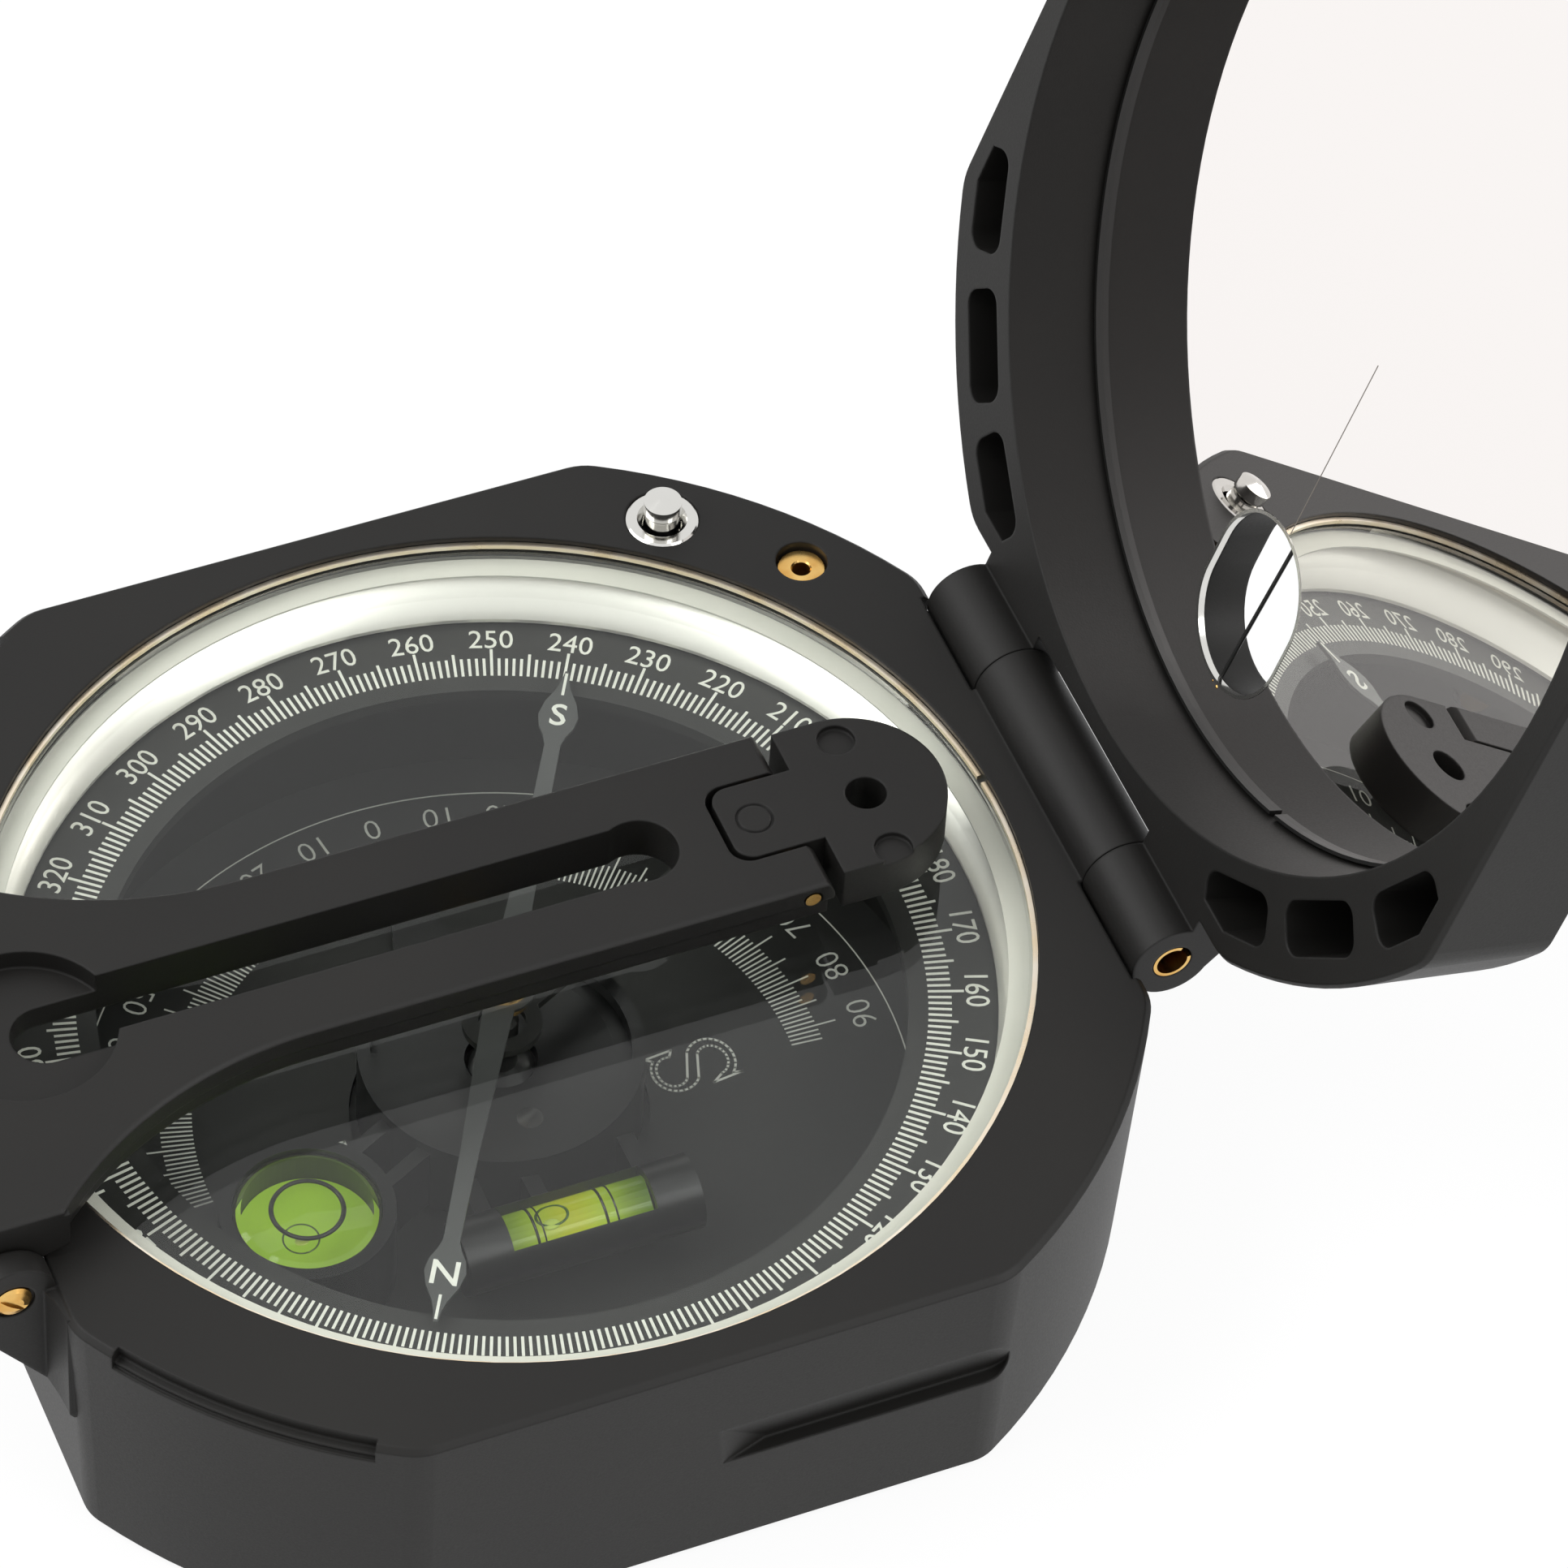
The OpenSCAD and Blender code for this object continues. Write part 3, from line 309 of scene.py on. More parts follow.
clear, tree = blank("flat_window_glass")
place = add(tree, "ShaderNodeTexCoord", {}).outputs["Object"]
smear = add(tree, "ShaderNodeTexNoise", {"Vector": place, "Scale": 1 / (SMEAR * MM), "Detail": 3.0})
rough = add(tree, "ShaderNodeMapRange", {"Value": smear.outputs["Fac"], "To Min": 0.0, "To Max": 0.02})
pane = add(tree, "ShaderNodeBsdfPrincipled", {"Base Color": paint("fbfdfb"), "Roughness": 0.0,
                                              "IOR": PANE_INDEX, "Transmission Weight": 1.0,
                                              "Coat Weight": 1.0, "Coat IOR": POLISH_INDEX,
                                              "Coat Roughness": rough.outputs[0]})
open_air = add(tree, "ShaderNodeBsdfTransparent", {"Color": paint("fafcfa")})
mixed = add(tree, "ShaderNodeMixShader", {0: as_light(tree), 1: pane.outputs[0], 2: open_air.outputs[0]})
add(tree, "ShaderNodeOutputMaterial", {"Surface": mixed.outputs[0]})
dress(clear, "crystal")


# Mirror
# Silvered float glass, almost without colour, laid in the lid. Wiping leaves a haze on it
# that is far too faint to blur the picture.

MIRROR_HAZE = 5.0

silvering, tree = blank("silvered_float_glass")
place = add(tree, "ShaderNodeTexCoord", {}).outputs["Object"]
haze = add(tree, "ShaderNodeTexNoise", {"Vector": place, "Scale": 1 / (MIRROR_HAZE * MM), "Detail": 2.0})
rough = add(tree, "ShaderNodeMapRange", {"Value": haze.outputs["Fac"], "To Min": 0.0, "To Max": 0.01})
metal = add(tree, "ShaderNodeBsdfPrincipled", {"Base Color": paint("f4f0ee"), "Metallic": 1.0,
                                               "Roughness": rough.outputs[0]})
add(tree, "ShaderNodeOutputMaterial", {"Surface": metal.outputs[0]})
dress(silvering, "mirror_glass")


# Dial plate, ring, lifter and mirror's pad
# Sheet metal, stoved matt black. The enamel flows out smooth, with a faint cloudiness and
# no grain that the eye can see.

ENAMEL_CLOUD = 20 / 3

dial_black, tree = blank("stoved_black_dial")
place = add(tree, "ShaderNodeTexCoord", {}).outputs["Object"]
cloud = add(tree, "ShaderNodeTexNoise", {"Vector": place, "Scale": 1 / (ENAMEL_CLOUD * MM), "Detail": 2.0})
rough = add(tree, "ShaderNodeMapRange", {"Value": cloud.outputs["Fac"], "To Min": 0.5, "To Max": 0.56})
tone = add(tree, "ShaderNodeValToRGB", {"Fac": cloud.outputs["Fac"]})
tone.color_ramp.elements[0].color = paint("232322")
tone.color_ramp.elements[1].color = paint("292927")
coat = add(tree, "ShaderNodeBsdfPrincipled", {"Base Color": tone.outputs["Color"],
                                              "Roughness": rough.outputs[0], "Specular IOR Level": 0.3})
add(tree, "ShaderNodeOutputMaterial", {"Surface": coat.outputs[0]})
dress(dial_black, "dial_plate", "azimuth_ring", "lifter_lever", "mirror_pad")


# Blackened wire and post
# The ring that holds the mirror, the hair across the window and the needle's post are
# steel, blackened in hot salts. The oxide keeps a low, slightly uneven shine.

OXIDE_PATCH = 10 / 7

wire_black, tree = blank("black_oxide_wire")
place = add(tree, "ShaderNodeTexCoord", {}).outputs["Object"]
patch = add(tree, "ShaderNodeTexNoise", {"Vector": place, "Scale": 1 / (OXIDE_PATCH * MM), "Detail": 2.0})
rough = add(tree, "ShaderNodeMapRange", {"Value": patch.outputs["Fac"], "To Min": 0.3, "To Max": 0.42})
coat = add(tree, "ShaderNodeBsdfPrincipled", {"Base Color": paint("161615"), "Roughness": rough.outputs[0]})
add(tree, "ShaderNodeOutputMaterial", {"Surface": coat.outputs[0]})
dress(wire_black, "mirror_ring", "hairline", "pivot_post")


# Seal under the glass
# A flat ring cut from pale silicone rubber sheet, which the glass presses on the bezel.
# The rubber looks dull and faintly cloudy.

RUBBER_CLOUD = 2.0

seal, tree = blank("pale_silicone_rubber")
place = add(tree, "ShaderNodeTexCoord", {}).outputs["Object"]
cloud = add(tree, "ShaderNodeTexNoise", {"Vector": place, "Scale": 1 / (RUBBER_CLOUD * MM), "Detail": 2.0})
rough = add(tree, "ShaderNodeMapRange", {"Value": cloud.outputs["Fac"], "To Min": 0.5, "To Max": 0.62})
rubber = add(tree, "ShaderNodeBsdfPrincipled", {"Base Color": paint("e4e2d8"),
                                                "Roughness": rough.outputs[0], "Specular IOR Level": 0.4})
add(tree, "ShaderNodeOutputMaterial", {"Surface": rubber.outputs[0]})
dress(seal, "crystal_gasket")


# Degrees on the azimuth ring
# White enamel printed on the ring: a bar for each degree, longer at the fives and tens, and
# a figure at each ten. The film is thin, and half of it lies in the black under it.

FILM = 0.03
PRINT_SPECK = 2 / 3
RING_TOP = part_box("azimuth_ring")[1][2] / MM
RING_TURN = 0.46
RING_MARK = {"foot": 28.38, "ten": 30.8, "five": 30.4, "one": 29.95, "width": 0.2}
RING_FIGURE = {"height": 1.62, "radius": 31.7, "stretch": 0.92}

white_enamel, tree = blank("printed_white_enamel")
place = add(tree, "ShaderNodeTexCoord", {}).outputs["Object"]
speck = add(tree, "ShaderNodeTexNoise", {"Vector": place, "Scale": 1 / (PRINT_SPECK * MM), "Detail": 2.0})
tone = add(tree, "ShaderNodeValToRGB", {"Fac": speck.outputs["Fac"]})
tone.color_ramp.elements[0].color = paint("dcdcd2")
tone.color_ramp.elements[1].color = paint("f2f2ea")
rough = add(tree, "ShaderNodeMapRange", {"Value": speck.outputs["Fac"], "To Min": 0.4, "To Max": 0.5})
enamel = add(tree, "ShaderNodeBsdfPrincipled", {"Base Color": tone.outputs["Color"],
                                                "Roughness": rough.outputs[0]})
add(tree, "ShaderNodeOutputMaterial", {"Surface": enamel.outputs[0]})


def finish_piece(shape, name, body, material):
    """Makes one piece of a bmesh whose points are already in place, in metres."""
    mesh = bpy.data.meshes.new(name)
    shape.to_mesh(mesh)
    shape.free()
    mesh.materials.append(material)
    piece = bpy.data.objects.new(name, mesh)
    scene.collection.objects.link(piece)
    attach(piece, body)


def at(x, y, z):
    """A move to a point in millimetres."""
    return Matrix.Translation((x * MM, y * MM, z * MM))


def around(radius, degree):
    """A point on a circle about the middle of the dial, in millimetres."""
    return Vector((math.cos(math.radians(degree)), math.sin(math.radians(degree)))) * radius


def bar(shape, start, end, width, z):
    """A flat bar of enamel between two points, in millimetres, centred on the height z."""
    run = Vector(end) - Vector(start)
    middle = (Vector(start) + Vector(end)) / 2
    turn = Matrix.Rotation(math.atan2(run.y, run.x), 4, "Z")
    size = Matrix.Diagonal((run.length * MM, width * MM, FILM * MM, 1))
    bmesh.ops.create_cube(shape, size=1.0, matrix=at(middle.x, middle.y, z) @ turn @ size)


def degree_mark(shape, degree, turn, mark, z):
    """A bar that points away from the middle, longer at the fives and tens."""
    end = mark["ten"] if degree % 10 == 0 else mark["five"] if degree % 5 == 0 else mark["one"]
    bar(shape, around(mark["foot"], degree + turn), around(end, degree + turn), mark["width"], z)


def word(shape, text, height, centre, turn, z, stretch=1.0, bold=0.0):
    """Sets a word in plain letters without serifs flat on the height z, turned by degrees."""
    data = bpy.data.curves.new("word", "FONT")
    data.body = text
    data.align_x = "CENTER"
    data.resolution_u = 3
    data.offset = bold
    data.extrude = 0.5
    made = bpy.data.objects.new("word", data)
    scene.collection.objects.link(made)
    mesh = bpy.data.meshes.new_from_object(made)
    xs = [v.co.x for v in mesh.vertices]
    ys = [v.co.y for v in mesh.vertices]
    scale = height / (max(ys) - min(ys)) * MM
    middle = Matrix.Translation((-(max(xs) + min(xs)) / 2, -(max(ys) + min(ys)) / 2, 0))
    size = Matrix.Diagonal((scale * stretch, scale, FILM * MM, 1))
    mesh.transform(at(*centre, z) @ Matrix.Rotation(math.radians(turn), 4, "Z") @ size @ middle)
    shape.from_mesh(mesh)
    bpy.data.objects.remove(made)
    bpy.data.curves.remove(data)
    bpy.data.meshes.remove(mesh)


shape = bmesh.new()
for degree in range(360):
    degree_mark(shape, degree, RING_TURN, RING_MARK, RING_TOP)
finish_piece(shape, "ring_ticks", "ring", white_enamel)

# The figures stand with their feet to the middle, and 0 lies on the arm's side.
shape = bmesh.new()
for degree in range(0, 360, 10):
    angle = degree - 180 + RING_TURN
    word(shape, str(degree), RING_FIGURE["height"], around(RING_FIGURE["radius"], angle), angle - 90,
         RING_TOP, stretch=RING_FIGURE["stretch"])
finish_piece(shape, "ring_figures", "ring", white_enamel)


# Clinometer scale on the plate
# Finer printing on the dial plate: a half circle of degrees that counts from 0 at the side
# to 90 at both ends, and a thin circle round it. The bars run on a little past the ends.

PLATE_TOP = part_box("dial_plate")[1][2] / MM
SCALE_TURN = -1.4
SCALE_MARK = {"foot": 20.8, "ten": 24.4, "five": 23.9, "one": 23.0, "width": 0.13}
SCALE_FIGURE = {"height": 1.7, "radius": 26.3, "bold": -0.012}
RUN_ON = 3
CIRCLE_RADIUS, CIRCLE_LINE, CIRCLE_STEP = 28.3, 0.1, 2

shape = bmesh.new()
for degree in range(-RUN_ON, 180 + RUN_ON + 1):
    degree_mark(shape, degree, SCALE_TURN, SCALE_MARK, PLATE_TOP)
finish_piece(shape, "scale_ticks", "case", white_enamel)

shape = bmesh.new()
for degree in range(0, 181, 10):
    angle = degree + SCALE_TURN
    word(shape, str(abs(90 - degree)), SCALE_FIGURE["height"], around(SCALE_FIGURE["radius"], angle),
         angle + 90, PLATE_TOP, bold=SCALE_FIGURE["bold"])
finish_piece(shape, "scale_figures", "case", white_enamel)

shape = bmesh.new()
for degree in range(0, 360, CIRCLE_STEP):
    ends = [around(CIRCLE_RADIUS, degree + half) for half in (-CIRCLE_STEP / 2, CIRCLE_STEP / 2)]
    bar(shape, *ends, CIRCLE_LINE, PLATE_TOP)
finish_piece(shape, "scale_circle", "case", white_enamel)


# Letters on the dial plate
# S and N are printed in outline, laid on their sides. They have a double line and slab
# ends, as an engraver draws them, and are given here on a square one unit high.

LETTER_HIGH, LETTER_LINE = 5.9, 0.17
LETTER_OUT, LETTER_SIDE = 13.75, -0.95
LINE_LAP = 0.4
BOW_POINTS = 15


def bow(middle, wide, high, start, end):
    """Points along part of an oval, from one angle in degrees to another."""
    angles = [math.radians(start + (end - start) * k / (BOW_POINTS - 1)) for k in range(BOW_POINTS)]
    return [(middle[0] + wide * math.cos(a), middle[1] + high * math.sin(a)) for a in angles]


def drawn_letter(shape, path, centre):
    """Draws the closed outline of a letter as enamel lines that lap a little at the corners."""
    laid = [Vector((centre[0] - y * LETTER_HIGH, centre[1] + x * LETTER_HIGH)) for x, y in path]
    for k, start in enumerate(laid):
        end = laid[(k + 1) % len(laid)]
        over = (end - start).normalized() * LETTER_LINE * LINE_LAP
        bar(shape, start - over, end + over, LETTER_LINE, PLATE_TOP)


upper_serif = [(0.27, 0.5), (0.3, 0.16)]
lower_serif = [(-0.27, -0.5), (-0.31, -0.14)]
letter_s = (upper_serif + bow((0.0, 0.26), 0.22, 0.18, -15, 225) + bow((0.0, -0.22), 0.33, 0.28, 50, -140)
            + lower_serif + bow((0.0, -0.24), 0.22, 0.18, 190, 405) + bow((0.0, 0.22), 0.3, 0.28, 230, 45))
letter_n = [(-0.45, 0.5), (-0.18, 0.5), (0.24, -0.18), (0.24, 0.42), (0.14, 0.42), (0.14, 0.5), (0.45, 0.5),
            (0.45, 0.42), (0.35, 0.42), (0.35, -0.5), (0.22, -0.5), (-0.26, 0.27), (-0.26, -0.42),
            (-0.16, -0.42), (-0.16, -0.5), (-0.45, -0.5), (-0.45, -0.42), (-0.37, -0.42), (-0.37, 0.42),
            (-0.45, 0.42)]

shape = bmesh.new()
drawn_letter(shape, letter_s, (LETTER_OUT, LETTER_SIDE))
drawn_letter(shape, letter_n, (-LETTER_OUT, LETTER_SIDE))
finish_piece(shape, "dial_letters", "case", white_enamel)


# Needle
# A thin steel blade, stamped out and plated grey. Each end carries a white letter on the
# spade, and a white line from there to the tip.

NEEDLE_PATCH = 10 / 9
NEEDLE_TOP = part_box("needle_blade")[1][2] / MM
NEEDLE_ENDS = {"S": 60, "N": 240}
SPADE_LETTER = {"height": 1.95, "radius": 24.3, "bold": 0.01}
TIP_LINE = {"foot": 26.1, "end": 28.1, "width": 0.2}

steel, tree = blank("grey_plated_steel")
place = add(tree, "ShaderNodeTexCoord", {}).outputs["Object"]
patch = add(tree, "ShaderNodeTexNoise", {"Vector": place, "Scale": 1 / (NEEDLE_PATCH * MM), "Detail": 2.0})
rough = add(tree, "ShaderNodeMapRange", {"Value": patch.outputs["Fac"], "To Min": 0.35, "To Max": 0.45})
metal = add(tree, "ShaderNodeBsdfPrincipled", {"Base Color": paint("4d4e4d"), "Metallic": 0.5,
                                               "Roughness": rough.outputs[0]})
add(tree, "ShaderNodeOutputMaterial", {"Surface": metal.outputs[0]})
dress(steel, "needle_blade")

shape = bmesh.new()
for text, angle in NEEDLE_ENDS.items():
    word(shape, text, SPADE_LETTER["height"], around(SPADE_LETTER["radius"], angle), angle - 90, NEEDLE_TOP,
         bold=SPADE_LETTER["bold"])
    bar(shape, around(TIP_LINE["foot"], angle), around(TIP_LINE["end"], angle), TIP_LINE["width"],
        NEEDLE_TOP)
finish_piece(shape, "needle_marks", "needle", white_enamel)


# Clinometer frame
# Moulded in black ABS, with a cup for the round level and a holder for the long one. The
# mould is polished, so the plastic has an even half gloss.

ABS_GRAIN = 1 / 3

moulded, tree = blank("moulded_black_abs")
place = add(tree, "ShaderNodeTexCoord", {}).outputs["Object"]
grain = add(tree, "ShaderNodeTexNoise", {"Vector": place, "Scale": 1 / (ABS_GRAIN * MM), "Detail": 1.0})
rough = add(tree, "ShaderNodeMapRange", {"Value": grain.outputs["Fac"], "To Min": 0.32, "To Max": 0.36})
plastic = add(tree, "ShaderNodeBsdfPrincipled", {"Base Color": paint("0d0d0c"), "IOR": 1.53,
                                                 "Roughness": rough.outputs[0], "Specular IOR Level": 0.4})
add(tree, "ShaderNodeOutputMaterial", {"Surface": plastic.outputs[0]})
dress(moulded, "clino_frame")


# Spirit in the levels
# Two levels of clear acrylic, filled with spirit dyed green and pressed into the frame.
# The liquid tints what is seen through it, and light for its far side passes straight in.

SPIRIT_SWIRL = 10 / 3

spirit, tree = blank("green_spirit_in_acrylic")
place = add(tree, "ShaderNodeTexCoord", {}).outputs["Object"]
swirl = add(tree, "ShaderNodeTexNoise", {"Vector": place, "Scale": 1 / (SPIRIT_SWIRL * MM), "Detail": 1.0})
tone = add(tree, "ShaderNodeValToRGB", {"Fac": swirl.outputs["Fac"]})
tone.color_ramp.elements[0].color = paint("dcf09c")
tone.color_ramp.elements[1].color = paint("e6f6ac")
liquid = add(tree, "ShaderNodeBsdfPrincipled", {"Base Color": tone.outputs["Color"], "Roughness": 0.0,
                                                "IOR": 1.38, "Transmission Weight": 1.0})
light_in = add(tree, "ShaderNodeBsdfTransparent", {"Color": paint("f8fde4")})
mixed = add(tree, "ShaderNodeMixShader", {0: as_light(tree), 1: liquid.outputs[0], 2: light_in.outputs[0]})
add(tree, "ShaderNodeOutputMaterial", {"Surface": mixed.outputs[0]})
dress(spirit, "tube_vial", "round_vial")


# Round level
# A pale disc under the spirit sends the light back, and a faint painted glow on the disc brightens the
# green.
# A black sleeve lines the level, and shows as a dark crescent beyond the disc.

ROUND_SWIRL = 4.0
VIAL_SKIN = 0.06
LEVEL_BACK = {"gap": 0.25, "thick": 0.3, "lift": 0.58}
LEVEL_SLEEVE = {"wall": 0.2, "lift": 0.08, "sink": 0.55}
ROUND_STEPS = 64
level_low, level_high = [[c / MM for c in corner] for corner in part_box("round_vial")]
LEVEL_X = (level_low[0] + level_high[0]) / 2
LEVEL_Y = (level_low[1] + level_high[1]) / 2
LEVEL_FOOT, LEVEL_TOP = level_low[2], level_high[2]
LEVEL_RADIUS = (level_high[0] - level_low[0]) / 2 - VIAL_SKIN

round_back, tree = blank("round_level_back_with_painted_glow")
place = add(tree, "ShaderNodeTexCoord", {}).outputs["Object"]
swirl = add(tree, "ShaderNodeTexNoise", {"Vector": place, "Scale": 1 / (ROUND_SWIRL * MM), "Detail": 1.0})
tone = add(tree, "ShaderNodeValToRGB", {"Fac": swirl.outputs["Fac"]})
tone.color_ramp.elements[0].color = paint("b8e83c")
tone.color_ramp.elements[1].color = paint("d4f25c")
# The emission is a painted glow that lifts the green of the disc. The disc is no lamp.
back = add(tree, "ShaderNodeBsdfPrincipled", {"Base Color": tone.outputs["Color"], "Roughness": 0.4,
                                              "Emission Color": paint("c8f050"), "Emission Strength": 0.16})
add(tree, "ShaderNodeOutputMaterial", {"Surface": back.outputs[0]})


def spin_closed(shape, profile, edges):
    """Spins a closed profile once about the upright axis, and gives the points of the ring."""
    start = len(shape.verts) - len(profile)
    bmesh.ops.spin(shape, geom=profile + edges, cent=(0, 0, 0), axis=(0, 0, 1), angle=math.tau,
                   steps=ROUND_STEPS, use_merge=True)
    shape.verts.ensure_lookup_table()
    return shape.verts[start:]


def face_outwards(shape, points):
    """Turns the faces that meet at these points outwards."""
    bmesh.ops.recalc_face_normals(shape, faces=list({f for v in points for f in v.link_faces}))


shape = bmesh.new()
disc_radius = (LEVEL_RADIUS - LEVEL_BACK["gap"]) * MM
bmesh.ops.create_cone(shape, cap_ends=True, segments=ROUND_STEPS, radius1=disc_radius, radius2=disc_radius,
                      depth=LEVEL_BACK["thick"] * MM,
                      matrix=at(LEVEL_X, LEVEL_Y, LEVEL_FOOT + LEVEL_BACK["lift"]))
finish_piece(shape, "round_level_back", "clinometer", round_back)

shape = bmesh.new()
inner, outer = LEVEL_RADIUS - LEVEL_SLEEVE["wall"], LEVEL_RADIUS
foot, top = LEVEL_FOOT + LEVEL_SLEEVE["lift"], LEVEL_TOP - LEVEL_SLEEVE["sink"]
section = ((inner, foot), (outer, foot), (outer, top), (inner, top))
corners = [shape.verts.new((radius * MM, 0, z * MM)) for radius, z in section]
edges = [shape.edges.new((corners[k], corners[(k + 1) % 4])) for k in range(4)]
sleeve = spin_closed(shape, corners, edges)
bmesh.ops.transform(shape, matrix=at(LEVEL_X, LEVEL_Y, 0), verts=sleeve)
face_outwards(shape, sleeve)
finish_piece(shape, "round_level_sleeve", "clinometer", moulded)


# Tube level
# The far side of the tube is painted pale and sends the light back through the spirit:
# yellow in the middle, greener to the ends. It is a thin trough in the tube's lower half.

TUBE_SWIRL = 10 / 3
MIDDLE_TONE, END_TONE, TONE_SHIFT = 0.5, 5.5, 0.6
TROUGH = {"length": 11.2, "thick": 0.2, "inset": 0.3, "steps": 24}
tube_low, tube_high = [[c / MM for c in corner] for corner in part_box("tube_vial")]
TUBE_Y = (tube_low[1] + tube_high[1]) / 2
TUBE_Z = (tube_low[2] + tube_high[2]) / 2
TUBE_RADIUS = (tube_high[2] - tube_low[2]) / 2

lime_back, tree = blank("lit_back_of_green_spirit")
place = add(tree, "ShaderNodeTexCoord", {}).outputs["Object"]
axes = add(tree, "ShaderNodeSeparateXYZ", {"Vector": place})
along = add(tree, "ShaderNodeMath", {0: axes.outputs["X"]}, operation="ABSOLUTE")
swirl = add(tree, "ShaderNodeTexNoise", {"Vector": place, "Scale": 1 / (TUBE_SWIRL * MM), "Detail": 1.0})
shift = add(tree, "ShaderNodeMapRange", {"Value": swirl.outputs["Fac"], "To Min": -TONE_SHIFT * MM,
                                         "To Max": TONE_SHIFT * MM})
depth = add(tree, "ShaderNodeMath", {0: along.outputs[0], 1: shift.outputs[0]}, operation="ADD")
far = add(tree, "ShaderNodeMapRange", {"Value": depth.outputs[0], "From Min": MIDDLE_TONE * MM,
                                       "From Max": END_TONE * MM})
tone = add(tree, "ShaderNodeValToRGB", {"Fac": far.outputs[0]})
tone.color_ramp.elements[0].color = paint("f0ea40")
tone.color_ramp.elements[1].color = paint("a8c850")
tone.color_ramp.elements.new(0.5).color = paint("d8ec58")
back = add(tree, "ShaderNodeBsdfPrincipled", {"Base Color": tone.outputs["Color"], "Roughness": 0.4})
add(tree, "ShaderNodeOutputMaterial", {"Surface": back.outputs[0]})

shape = bmesh.new()
bmesh.ops.create_grid(shape, x_segments=1, y_segments=1, size=0.5)
strip = Matrix.Diagonal((TROUGH["length"] * MM, TROUGH["thick"] * MM, 1, 1))
bmesh.ops.transform(shape, matrix=at(0, TUBE_RADIUS - TROUGH["inset"], 0) @ strip, verts=shape.verts)
bmesh.ops.spin(shape, geom=shape.verts[:] + shape.edges[:] + shape.faces[:], cent=(0, 0, 0), axis=(1, 0, 0),
               angle=-math.pi, steps=TROUGH["steps"])
bmesh.ops.transform(shape, matrix=at(0, TUBE_Y, TUBE_Z), verts=shape.verts)
bmesh.ops.recalc_face_normals(shape, faces=shape.faces)
finish_piece(shape, "tube_level_back", "clinometer", lime_back)


# Lines on the levels
# Printed on the acrylic in black ink: a circle on the round level, and two pairs of rings,
# one thick and one thin, round the tube.

INK_SPECK = 0.5
ROUND_LINE = {"radius": 2.4, "wire": 0.17, "sink": 0.12}
TUBE_LINES = ((-3.15, 0.1), (-2.65, 0.06), (1.75, 0.1), (2.5, 0.07))

black_print, tree = blank("black_printing_ink")
place = add(tree, "ShaderNodeTexCoord", {}).outputs["Object"]
speck = add(tree, "ShaderNodeTexNoise", {"Vector": place, "Scale": 1 / (INK_SPECK * MM), "Detail": 1.0})
rough = add(tree, "ShaderNodeMapRange", {"Value": speck.outputs["Fac"], "To Min": 0.25, "To Max": 0.35})
ink = add(tree, "ShaderNodeBsdfPrincipled", {"Base Color": paint("15180c"), "Roughness": rough.outputs[0]})
add(tree, "ShaderNodeOutputMaterial", {"Surface": ink.outputs[0]})


def hoop(shape, centre, radius, wire, squeeze=(1.0, 1.0), upright=False):
    """A round wire bent to a circle, in millimetres, lying flat or standing across the tube."""
    out = at(radius, 0, 0) @ Matrix.Rotation(math.pi / 2, 4, "X")
    profile = bmesh.ops.create_circle(shape, segments=8, radius=wire * MM, matrix=out)["verts"]
    ring = spin_closed(shape, profile, list({e for v in profile for e in v.link_edges}))
    lay = Matrix.Rotation(math.pi / 2, 4, "Y") if upright else Matrix.Identity(4)
    bmesh.ops.transform(shape, matrix=at(*centre) @ lay @ Matrix.Diagonal((*squeeze, 1, 1)), verts=ring)
    face_outwards(shape, ring)


shape = bmesh.new()
hoop(shape, (LEVEL_X, LEVEL_Y, LEVEL_TOP - ROUND_LINE["sink"]), ROUND_LINE["radius"], ROUND_LINE["wire"])
for x, wire in TUBE_LINES:
    hoop(shape, (x, TUBE_Y, TUBE_Z), TUBE_RADIUS, wire, upright=True)
finish_piece(shape, "level_lines", "clinometer", black_print)


# Bubbles in the levels
# Air left in the spirit rises under the top of each level. Its dark rim, where it bends the light
# away, is painted shade on a dark green wire hoop, round a small painted highlight of the sky.

RIM_PATCH, SKY_PATCH = 10 / 9, 10 / 7
ROUND_BUBBLE = Vector((LEVEL_X - 1.15, LEVEL_Y - 1.95, LEVEL_TOP - 0.52))
ROUND_RIM = {"radius": 1.2, "wire": 0.06}
ROUND_SKY = {"shift": (0.0, -0.2, 0.0), "size": (0.5, 0.35, 0.06)}
TUBE_BUBBLE = Vector((-1.7, TUBE_Y + 0.1, TUBE_Z + TUBE_RADIUS - 0.45))
TUBE_RIM = {"radius": 0.95, "wire": 0.09, "squeeze": (1.15, 0.8)}
TUBE_SKY = {"shift": (-0.25, -0.6, -0.05), "size": (0.6, 0.4, 0.15)}

# Painted shade: the dark green hoop stands in for the light that the bubble's edge bends away.
bubble_rim, tree = blank("painted_shade_rim_of_bubble")
place = add(tree, "ShaderNodeTexCoord", {}).outputs["Object"]
patch = add(tree, "ShaderNodeTexNoise", {"Vector": place, "Scale": 1 / (RIM_PATCH * MM), "Detail": 1.0})
tone = add(tree, "ShaderNodeValToRGB", {"Fac": patch.outputs["Fac"]})
tone.color_ramp.elements[0].color = paint("2c4a12")
tone.color_ramp.elements[1].color = paint("4c6e1c")
rim = add(tree, "ShaderNodeBsdfPrincipled", {"Base Color": tone.outputs["Color"], "Roughness": 0.1})
add(tree, "ShaderNodeOutputMaterial", {"Surface": rim.outputs[0]})

shape = bmesh.new()
hoop(shape, ROUND_BUBBLE, **ROUND_RIM)
hoop(shape, TUBE_BUBBLE, **TUBE_RIM)
finish_piece(shape, "painted_bubble_rim_shades", "clinometer", bubble_rim)
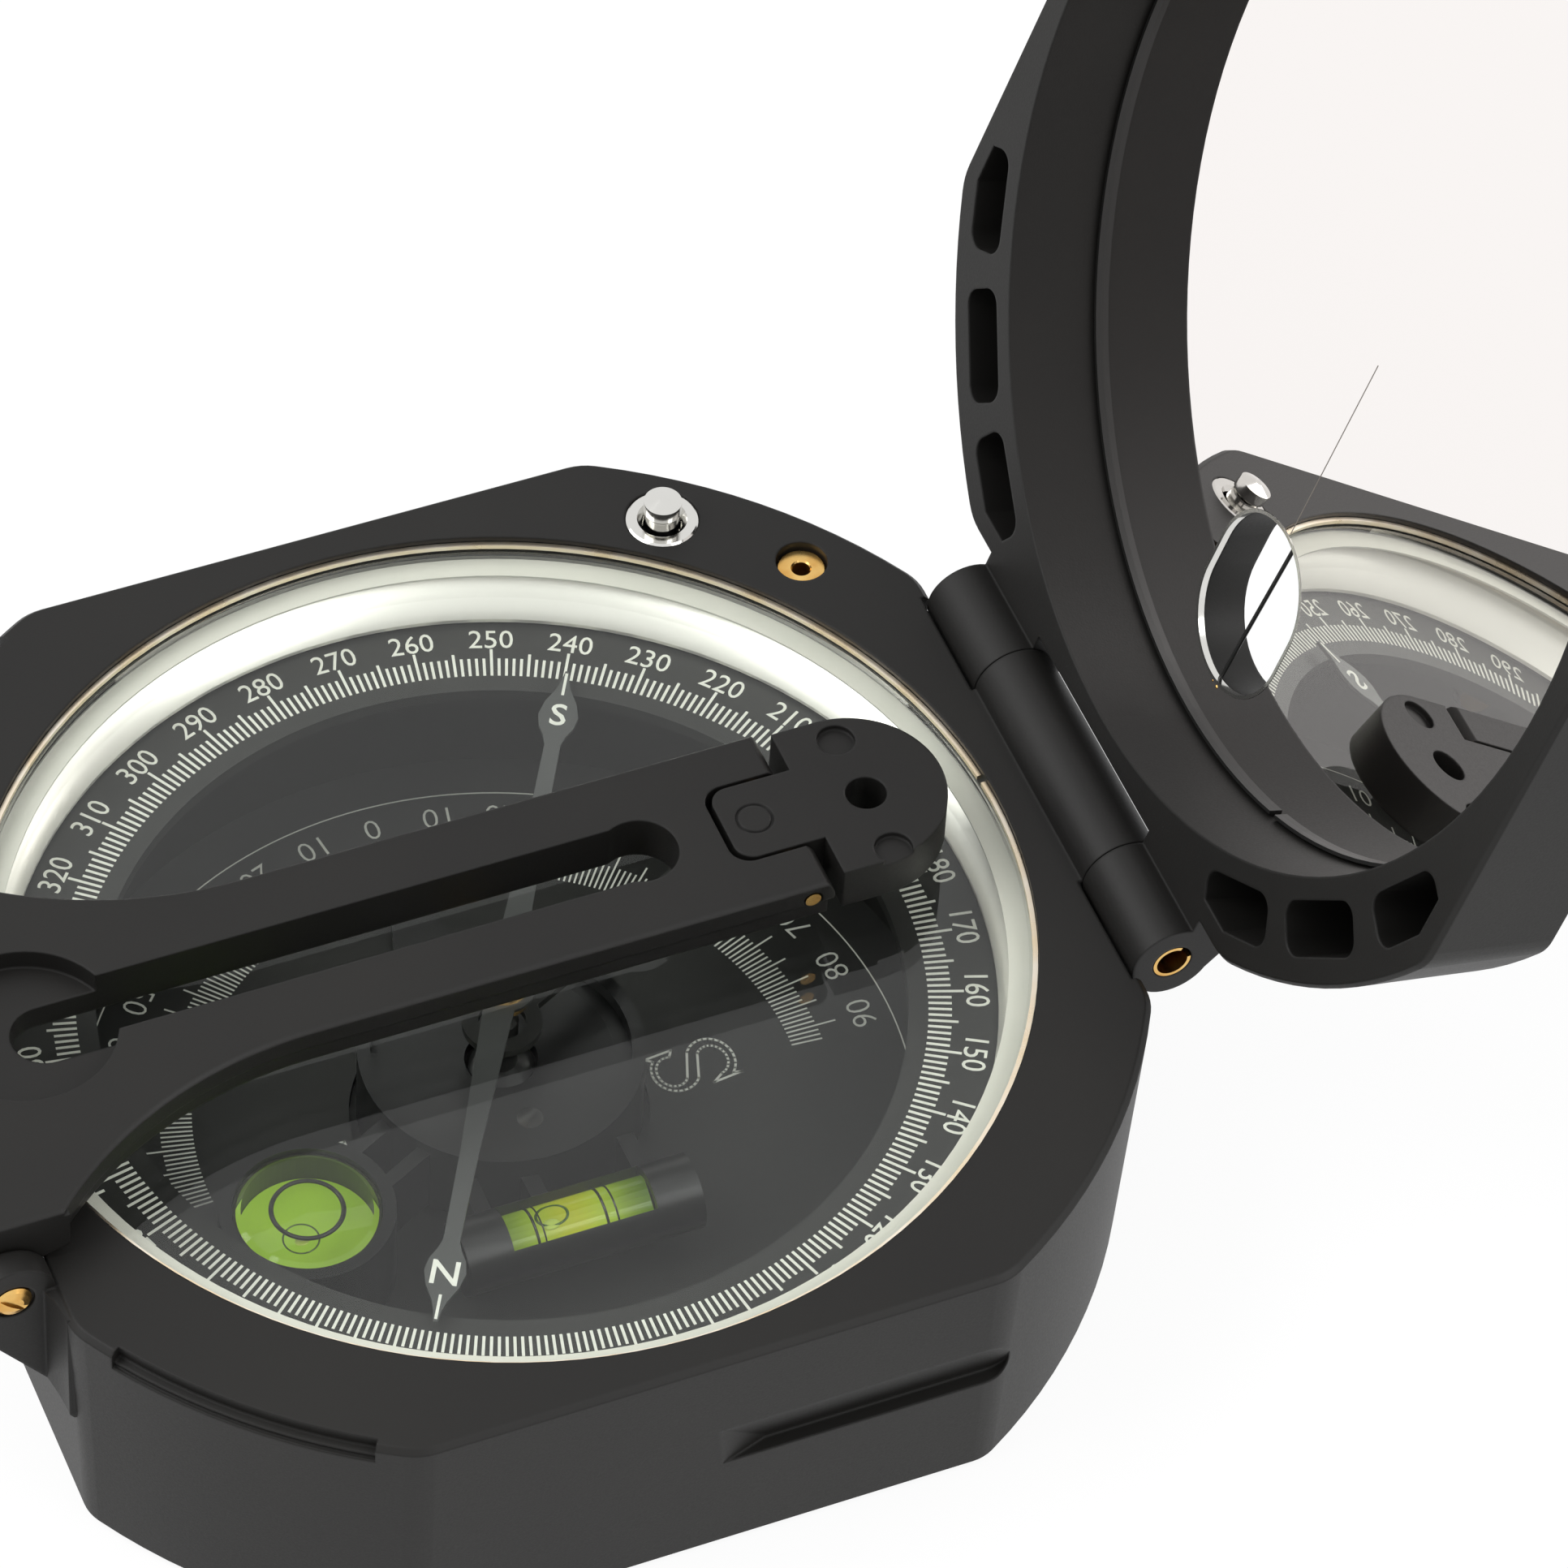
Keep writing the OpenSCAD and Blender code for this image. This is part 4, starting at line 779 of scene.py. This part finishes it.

# Painted highlight: the pale spot stands in for the sky's reflection in the bubble.
bubble_highlight_paint, tree = blank("painted_sky_highlight_in_bubble")
place = add(tree, "ShaderNodeTexCoord", {}).outputs["Object"]
patch = add(tree, "ShaderNodeTexNoise", {"Vector": place, "Scale": 1 / (SKY_PATCH * MM), "Detail": 1.0})
tone = add(tree, "ShaderNodeValToRGB", {"Fac": patch.outputs["Fac"]})
tone.color_ramp.elements[0].color = paint("c9d66a")
tone.color_ramp.elements[1].color = paint("e4e7a0")
air = add(tree, "ShaderNodeBsdfPrincipled", {"Base Color": tone.outputs["Color"], "Roughness": 0.05,
                                             "Coat Weight": 0.5})
add(tree, "ShaderNodeOutputMaterial", {"Surface": air.outputs[0]})

shape = bmesh.new()
for bubble, bright in ((ROUND_BUBBLE, ROUND_SKY), (TUBE_BUBBLE, TUBE_SKY)):
    size = Matrix.Diagonal((*[s * MM for s in bright["size"]], 1))
    bmesh.ops.create_uvsphere(shape, u_segments=24, v_segments=12, radius=1.0,
                              matrix=at(*(bubble + Vector(bright["shift"]))) @ size)
finish_piece(shape, "painted_bubble_highlights", "clinometer", bubble_highlight_paint)


# Sighting line on the mirror
# A fine line is cut through the silvering, in line with the hair, from the window's edge
# out across the glass. It shows the dull backing.

hinge = next(joint for joint in frame["joints"] if joint["name"] == "lid_hinge")
LID_AXIS = Vector(hinge["pos_m"]) / MM
LID_OPEN = math.radians(-hinge["range_deg"][0])
OUTWARD = Vector((-math.cos(LID_OPEN), 0, math.sin(LID_OPEN)))
INWARD = Vector((math.sin(LID_OPEN), 0, math.cos(LID_OPEN)))
MIRROR_FACE = 7.6
BACKING_SPECK = 10 / 9
CUT = {"start": 22.8, "end": 38.0, "side": -0.5, "width": 0.07, "thick": 0.03}

cut_line, tree = blank("line_cut_in_silvering")
place = add(tree, "ShaderNodeTexCoord", {}).outputs["Object"]
speck = add(tree, "ShaderNodeTexNoise", {"Vector": place, "Scale": 1 / (BACKING_SPECK * MM), "Detail": 1.0})
rough = add(tree, "ShaderNodeMapRange", {"Value": speck.outputs["Fac"], "To Min": 0.4, "To Max": 0.6})
groove = add(tree, "ShaderNodeBsdfPrincipled", {"Base Color": paint("7a736c"),
                                                "Roughness": rough.outputs[0]})
add(tree, "ShaderNodeOutputMaterial", {"Surface": groove.outputs[0]})


def on_lid(out, side, deep):
    """A move to a place in the lid: out from the hinge, along it, and deep into the lid."""
    return Matrix.Translation((LID_AXIS + OUTWARD * out + INWARD * deep + Vector((0, side, 0))) * MM)


shape = bmesh.new()
lid_turn = Matrix((OUTWARD, (0, 1, 0), INWARD)).transposed().to_4x4()
size = Matrix.Diagonal(((CUT["end"] - CUT["start"]) * MM, CUT["width"] * MM, CUT["thick"] * MM, 1))
middle = on_lid((CUT["start"] + CUT["end"]) / 2, CUT["side"], MIRROR_FACE)
bmesh.ops.create_cube(shape, size=1.0, matrix=middle @ lid_turn @ size)
finish_piece(shape, "mirror_line", "lid", cut_line)


# Solder at the hair's foot
# Two specks of brass solder hold the lower end of the hair to the rim of the window. They
# set as round beads, one a little larger than the other.

BEAD_OUT, BEAD_DEEP = 8.95, 7.75
BEADS = ((-0.95, 0.22), (-0.35, 0.18))

shape = bmesh.new()
for side, radius in BEADS:
    bmesh.ops.create_icosphere(shape, subdivisions=2, radius=radius * MM,
                               matrix=on_lid(BEAD_OUT, side, BEAD_DEEP))
finish_piece(shape, "hair_solder", "lid", brass)
